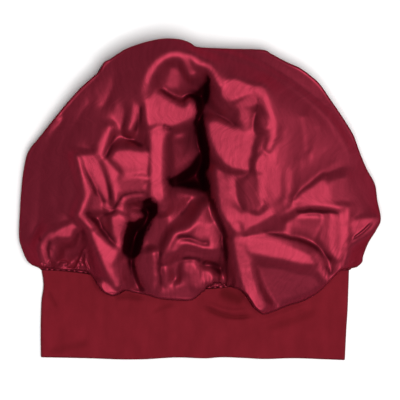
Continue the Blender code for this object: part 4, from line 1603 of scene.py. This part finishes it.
    def inner_sheets(self, upper: Array, lower: Array) -> tuple[Array, Array]:
        """The inner wall's upper and lower sheets, on every few rows and columns.

        Args:
            upper: the outer points of the upper sheet.
            lower: the outer points of the under side.

        Returns:
            The inner points above, and those below.
        """
        reach = self.coarse_step
        top, bottom = upper[..., 2], lower[..., 2]
        for axis in (0, 1):
            moved = [np.roll(top, shift, axis) for shift in range(-reach, reach + 1)]
            top = np.minimum.reduce(moved)
            moved = [np.roll(bottom, shift, axis) for shift in range(-reach, reach + 1)]
            bottom = np.maximum.reduce(moved)
        sheets = []
        middle = (upper[..., 2] + lower[..., 2]) / 2
        top = np.maximum(top - self.wall, middle + self.pinched_wall)
        bottom = np.minimum(bottom + self.wall, middle - self.pinched_wall)
        for sheet, heights in ((upper, top), (lower, bottom)):
            across = sheet[..., 0] * self.inner_scale
            seam = upper[:1, :, 1]
            back = seam + (sheet[..., 1] - seam) * self.inner_scale
            heights[:, [0, -1]], heights[-1] = upper[:, [0, -1], 2], upper[-1, :, 2]
            inner = np.stack([across, back, heights], axis=-1)
            sheets.append(inner[::reach, ::reach])
        seam_drop = np.array([0, 0, self.wall])
        sheets[0][0, 1:-1] = upper[0, reach:-1:reach] * (self.inner_scale, 1, 1) - seam_drop
        sheets[1][0, 1:-1] = lower[0, reach:-1:reach] * (self.inner_scale, 1, 1) + seam_drop
        return sheets[0], sheets[1]

    def rings(self, coarse: Array, fine: Array | None = None) -> list:
        """The faces of a coarse grid, facing up, that take in the fine vertices of its edges.

        Args:
            coarse: the vertex at each coarse row and column.
            fine: the vertices of the fine grid whose left, right and back edges it shares.

        Returns:
            The vertex numbers of each face.
        """
        step = self.coarse_step
        faces = []
        rows, columns = coarse.shape[0] - 1, coarse.shape[1] - 1
        for row in range(rows):
            for column in range(columns):
                near, far = row * step, (row + 1) * step
                ring = [coarse[row, column], coarse[row, column + 1]]
                if fine is not None and column == columns - 1:
                    ring += list(fine[near + 1 : far, -1])
                ring.append(coarse[row + 1, column + 1])
                if fine is not None and row == rows - 1:
                    ring += list(fine[-1, column * step + 1 : (column + 1) * step])[::-1]
                ring.append(coarse[row + 1, column])
                if fine is not None and column == 0:
                    ring += list(fine[near + 1 : far, 0])[::-1]
                faces.append([int(vertex) for vertex in ring])
        return faces

    def lay_cloth_coordinates(
        self, piece: bpy.types.Object, upper: Array, points: Array, folded: int
    ) -> None:
        """Gives the cloth its coordinates in metres, and marks its hollows for painted shade.

        The coordinates run along the folds above, and as the cloth lies below.

        Args:
            piece: the bag.
            upper: the upper sheet's points.
            points: all the bag's points.
            folded: how many face corners belong to the upper sheet.
        """
        across = np.linalg.norm(np.diff(upper, axis=1), axis=-1).cumsum(axis=1)
        across = np.pad(across, ((0, 0), (1, 0)))
        across -= across[:, [upper.shape[1] // 2]]
        along = np.linalg.norm(np.diff(upper, axis=0), axis=-1).cumsum(axis=0)
        along = np.pad(along, ((1, 0), (0, 0)))
        draped = np.stack([across, along], axis=-1).reshape(-1, 2)
        corners = np.empty(len(piece.data.loops), np.int32)
        piece.data.loops.foreach_get("vertex_index", corners)
        cloth = points[corners, :2]
        cloth[:folded] = draped[corners[:folded]]
        piece.data.uv_layers.new(name="cloth").data.foreach_set("uv", cloth.ravel())
        mark_painted_shade(piece, self.hollow, len(points))


def mark_painted_shade(piece: bpy.types.Object, hollow: Array, count: int) -> None:
    """Marks the painted shade of a piece's first points in hollows, and none on its other points.

    Args:
        piece: the piece of cloth.
        hollow: how far each of the first points lies in a hollow, from 0 to 1, as painted shade.
        count: how many points the piece has.
    """
    marks = np.zeros(count, np.float32)
    marks[: hollow.size] = hollow.ravel()
    attribute = piece.data.attributes.new("hollow", "FLOAT", "POINT")
    attribute.data.foreach_set("value", marks)


@dataclass
class Band:
    """The flattened tube of doubled jersey, folded at the hem and open at both ends."""

    rows: int = 92
    row_crowding: float = 0.30
    columns: int = 180
    column_crowding: float = 0.80
    edge_points: int = 300
    side_points: int = 200
    rim_points: int = 4
    wall: float = 0.0018
    seam_gap: float = 0.0004
    flat_size: tuple[float, float] = (0.57, 0.088)
    # groove depth in metres at which the painted shade in the jersey is full
    full_painted_shade_depth: float = 0.0030
    # share of painted shade at each point of the band
    hollow: Array | None = None
    finish: JerseyFinish = field(default_factory=JerseyFinish)

    def build(self) -> bpy.types.Object:
        """Makes the band, hangs it on the root body and hides the model's band part.

        Returns:
            The piece.
        """
        outer = self.outer_wall()
        inner = outer + self.inward(outer) * self.wall
        rims = [self.rim(outer[-1], inner[-1], 1), self.rim(inner[0], outer[0], -1)]
        points = np.concatenate([outer, rims[0], inner[::-1], rims[1]])
        piece = mesh_object("band_jersey", points, self.closed_faces(*points.shape[:2]))
        piece.data.materials.append(self.finish.material())
        mark_painted_shade(piece, self.hollow, len(piece.data.vertices))
        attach(piece, "root")
        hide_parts("band")
        return piece

    def outer_wall(self) -> Array:
        """The outer points: rows from hem to seam, each once round the tube.

        Returns:
            The points, rows by the way round.
        """
        shares = even_at_edges(self.columns, self.column_crowding)
        along = even_at_edges(self.rows, self.row_crowding)
        chart = spanned(
            resample(smooth_path(HEM, self.edge_points), shares),
            resample(seam_path(self.edge_points), shares),
            resample(smooth_path(BAND_LEFT, self.side_points), along),
            resample(smooth_path(BAND_RIGHT, self.side_points), along),
            shares,
            along,
        )
        place = plan(chart)
        place[0, :, 1] += self.wall / 2
        place[-1, :, 1] -= self.seam_gap + self.wall / 2
        rises = BAND_RISE_AT_HEM + (BAND_RISE_AT_SEAM - BAND_RISE_AT_HEM) * along
        heights = [tube_heights(shares, row, rise) for row, rise in zip(place, rises)]
        upper, lower = (np.array(layer) for layer in zip(*heights))
        creases = creased(chart, JERSEY_CREASES)
        under = np.zeros_like(lower[:, -2:0:-1])
        # Painted shade: the grooves are darkened in colour by their depth.
        self.hollow = np.clip(np.hstack([-creases / self.full_painted_shade_depth, under]), 0, 1)
        upper, lower = raised(place, upper + creases), raised(place, lower)
        return np.concatenate([upper, lower[:, -2:0:-1]], axis=1)

    def inward(self, outer: Array) -> Array:
        """Directions into the wall, square to the way round the tube.

        Args:
            outer: the outer points.

        Returns:
            A direction of length one at each.
        """
        around = np.roll(outer, -1, axis=1) - np.roll(outer, 1, axis=1)
        level = np.zeros(around.shape[:2])
        return directions(np.stack([around[..., 2], level, -around[..., 0]], axis=-1))

    def rim(self, start: Array, end: Array, side: int) -> Array:
        """Rows that roll the cloth over an open edge, from one wall to the other.

        Args:
            start: the edge of the wall that the roll leaves.
            end: the edge of the wall that it reaches.
            side: 1 where the edge faces back, and -1 where it faces the front.

        Returns:
            The rows between the two.
        """
        middle, spoke = (start + end) / 2, (start - end) / 2
        outward = np.array([0, side * self.wall / 2, 0])
        angles = np.linspace(0, math.pi, self.rim_points + 2)[1:-1]
        return np.array([middle + spoke * math.cos(a) + outward * math.sin(a) for a in angles])

    def closed_faces(self, rows: int, columns: int) -> list:
        """The faces of a grid that closes on itself both ways.

        Args:
            rows: how many rows of vertices it has.
            columns: how many vertices each row has.

        Returns:
            The four vertex numbers of each face.
        """
        index = np.arange(rows * columns).reshape(rows, columns)
        beside, beyond = np.roll(index, -1, axis=1), np.roll(index, -1, axis=0)
        corners = [index, beside, np.roll(beside, -1, axis=0), beyond]
        return np.stack(corners, axis=-1).reshape(-1, 4).tolist()


@dataclass
class SeamPuckers:
    """The small scallops of satin that the elastic draws up along the seam."""

    pitch: float = 0.0052
    width: float = 0.0058
    length: float = 0.0044
    height: float = 0.0030
    back: float = 0.0006
    lower_height: float = 0.0016
    sunk: float = 0.25  # how far the middle lies in the band, as a share of the height
    smallest: tuple[float, float, float] = (0.45, 0.5, 0.5)  # of width, length and height
    largest: tuple[float, float, float] = (1.3, 1.25, 1.2)
    seed: int = 11
    line_points: int = 240
    line_ends: tuple[float, float] = (0.004, 0.996)
    segments: int = 8
    rings: int = 5
    finish: SatinFinish = field(default_factory=SatinFinish)

    def build(self) -> bpy.types.Object:
        """Makes the puckers, hangs them on the root body and hides the model's crown part.

        Returns:
            The piece.
        """
        path = self.seam_line()
        modifier = path.modifiers.new("puckers", "NODES")
        modifier.node_group = self.tree(self.finish.material())
        sizes = {
            "Pitch": self.pitch,
            "Size": (self.width, self.length, self.height),
            "Seed": self.seed,
        }
        for item in modifier.node_group.interface.items_tree:
            if item.item_type == "SOCKET" and item.in_out == "INPUT" and item.name in sizes:
                modifier[item.identifier] = sizes[item.name]
        graph = bpy.context.evaluated_depsgraph_get()
        data = bpy.data.meshes.new_from_object(path.evaluated_get(graph))
        piece = linked("seam_puckers", data)
        bpy.data.objects.remove(path)
        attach(piece, "root")
        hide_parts("crown")
        return piece

    def seam_line(self) -> bpy.types.Object:
        """Two strings of points along the seam, on the upper and the lower layer.

        Returns:
            An object of edges alone.
        """
        count = self.line_points
        shares = np.linspace(*self.line_ends, count)
        seam = plan(resample(seam_path(SEAM_POINTS), shares))
        upper, _ = tube_heights(shares, plan(seam_path(count)), BAND_RISE_AT_SEAM)
        seam[:, 1] += self.back
        heights = (upper - self.height * self.sunk, np.full(count, self.lower_height))
        points = np.concatenate([raised(seam, height) for height in heights])
        data = bpy.data.meshes.new("seam_line")
        edges = [(i, i + 1) for i in range(2 * count - 1) if i != count - 1]
        data.from_pydata(points.tolist(), edges, [])
        return linked("seam_line", data)

    def tree(self, satin: bpy.types.Material) -> bpy.types.NodeTree:
        """The node tree that sets an uneven scallop at each step along a line.

        Args:
            satin: the scallops' material.

        Returns:
            The tree, with inputs for the step, the size and the seed.
        """
        tree = bpy.data.node_groups.new("seam_puckers", "GeometryNodeTree")
        sockets = (
            ("Geometry", "INPUT", "NodeSocketGeometry"),
            ("Pitch", "INPUT", "NodeSocketFloat"),
            ("Size", "INPUT", "NodeSocketVector"),
            ("Seed", "INPUT", "NodeSocketInt"),
            ("Geometry", "OUTPUT", "NodeSocketGeometry"),
        )
        for name, way, kind in sockets:
            tree.interface.new_socket(name=name, in_out=way, socket_type=kind)
        add = tree.nodes.new
        given, result = add("NodeGroupInput"), add("NodeGroupOutput")
        curve, spaced = add("GeometryNodeMeshToCurve"), add("GeometryNodeResampleCurve")
        spaced.mode = "LENGTH"
        scallop, shaped = add("GeometryNodeMeshUVSphere"), add("GeometryNodeTransform")
        scallop.inputs["Segments"].default_value = self.segments
        scallop.inputs["Rings"].default_value = self.rings
        scallop.inputs["Radius"].default_value = 0.5
        tangent, turned = add("GeometryNodeInputTangent"), add("FunctionNodeAlignRotationToVector")
        turned.axis = "X"
        uneven = add("FunctionNodeRandomValue")
        uneven.data_type = "FLOAT_VECTOR"
        uneven.inputs["Min"].default_value = self.smallest
        uneven.inputs["Max"].default_value = self.largest
        placed, realized = add("GeometryNodeInstanceOnPoints"), add("GeometryNodeRealizeInstances")
        smooth, dressed = add("GeometryNodeSetShadeSmooth"), add("GeometryNodeSetMaterial")
        dressed.inputs["Material"].default_value = satin
        wires = (
            (given, "Geometry", curve, "Mesh"),
            (curve, "Curve", spaced, "Curve"),
            (given, "Pitch", spaced, "Length"),
            (scallop, "Mesh", shaped, "Geometry"),
            (given, "Size", shaped, "Scale"),
            (tangent, "Tangent", turned, "Vector"),
            (given, "Seed", uneven, "Seed"),
            (spaced, "Curve", placed, "Points"),
            (shaped, "Geometry", placed, "Instance"),
            (turned, "Rotation", placed, "Rotation"),
            (uneven, "Value", placed, "Scale"),
            (placed, "Instances", realized, "Geometry"),
            (realized, "Geometry", smooth, "Geometry"),
            (smooth, "Geometry", dressed, "Geometry"),
            (dressed, "Geometry", result, "Geometry"),
        )
        for source, output, target, socket in wires:
            tree.links.new(source.outputs[output], target.inputs[socket])
        return tree


@dataclass
class Studio:
    """A white table, one wide soft light above and a weaker one beside, and the camera."""

    camera_height: float = 6.0
    camera_reach: float = 50.0
    frame_pixels: int = 400
    sensor: float = 36.0
    frame_centre: tuple[float, float] = (200.0, 200.0)
    table_half: float = 4.0
    table_below: float = 0.0003
    table_shade: tuple[float, float, float] = (0.94, 0.94, 0.94)
    table_roughness: float = 0.8
    surround: float = 0.03
    lamps: tuple[Lamp, ...] = (
        Lamp("key", (0.55, -0.8, 8.0), size=3.2, brightness=1.115),
        Lamp("fill", (5.0, 1.0, 3.5), size=3.0, brightness=0.17),
    )

    def build(self) -> None:
        """Makes the table, the lights and the camera."""
        self.add_table()
        for lamp in self.lamps:
            self.add_light(lamp)
        self.add_world()
        self.add_camera()

    def add_table(self) -> None:
        """A wide white table top."""
        points = np.array([[-1, -1], [1, -1], [1, 1], [-1, 1]]) * self.table_half
        points = np.column_stack([points, np.full(4, -self.table_below)])
        table = mesh_object("table_top", points, [(0, 1, 2, 3)])
        nodes = Nodes("white_table")
        nodes.shader.inputs["Base Color"].default_value = (*self.table_shade, 1)
        nodes.shader.inputs["Roughness"].default_value = self.table_roughness
        table.data.materials.append(nodes.material)

    def add_light(self, lamp: Lamp) -> None:
        """Hangs one lamp and turns it to the bonnet.

        Args:
            lamp: its name, place, size and brightness.
        """
        place = Vector(lamp.place)
        light = bpy.data.lights.new(lamp.name, "AREA")
        light.size = lamp.size
        light.energy = lamp.brightness * math.pi**2 * place.length_squared
        hung = linked(lamp.name, light)
        hung.location = place
        hung.rotation_mode = "QUATERNION"
        hung.rotation_quaternion = (-place).to_track_quat("-Z", "Y")

    def add_world(self) -> None:
        """A dim even surround."""
        world = bpy.data.worlds.new("studio")
        world.use_nodes = True
        shade = world.node_tree.nodes["Background"]
        shade.inputs["Color"].default_value = (1, 1, 1, 1)
        shade.inputs["Strength"].default_value = self.surround
        bpy.context.scene.world = world

    def add_camera(self) -> None:
        """Looks straight down, with the frame as wide on the table as the chart."""
        lens = bpy.data.cameras.new("camera")
        lens.sensor_width = self.sensor
        width = self.frame_pixels * METRES_PER_PIXEL
        lens.lens = self.sensor * self.camera_height / width
        lens.clip_end = self.camera_reach
        camera = linked("camera", lens)
        x, y = plan(np.array(self.frame_centre))
        camera.location = (x, y, self.camera_height)
        bpy.context.scene.camera = camera


def main() -> None:
    """Builds every part of the scene in order and logs each piece's face count."""
    logging.basicConfig(level=logging.INFO, format="%(name)s: %(message)s")
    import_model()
    bpy.context.scene.view_settings.view_transform = "Standard"
    for maker in (Crown(), Band(), SeamPuckers()):
        piece = maker.build()
        LOG.info("built %s: %d faces", piece.name, len(piece.data.polygons))
    Studio().build()


if __name__ == "__main__":
    main()
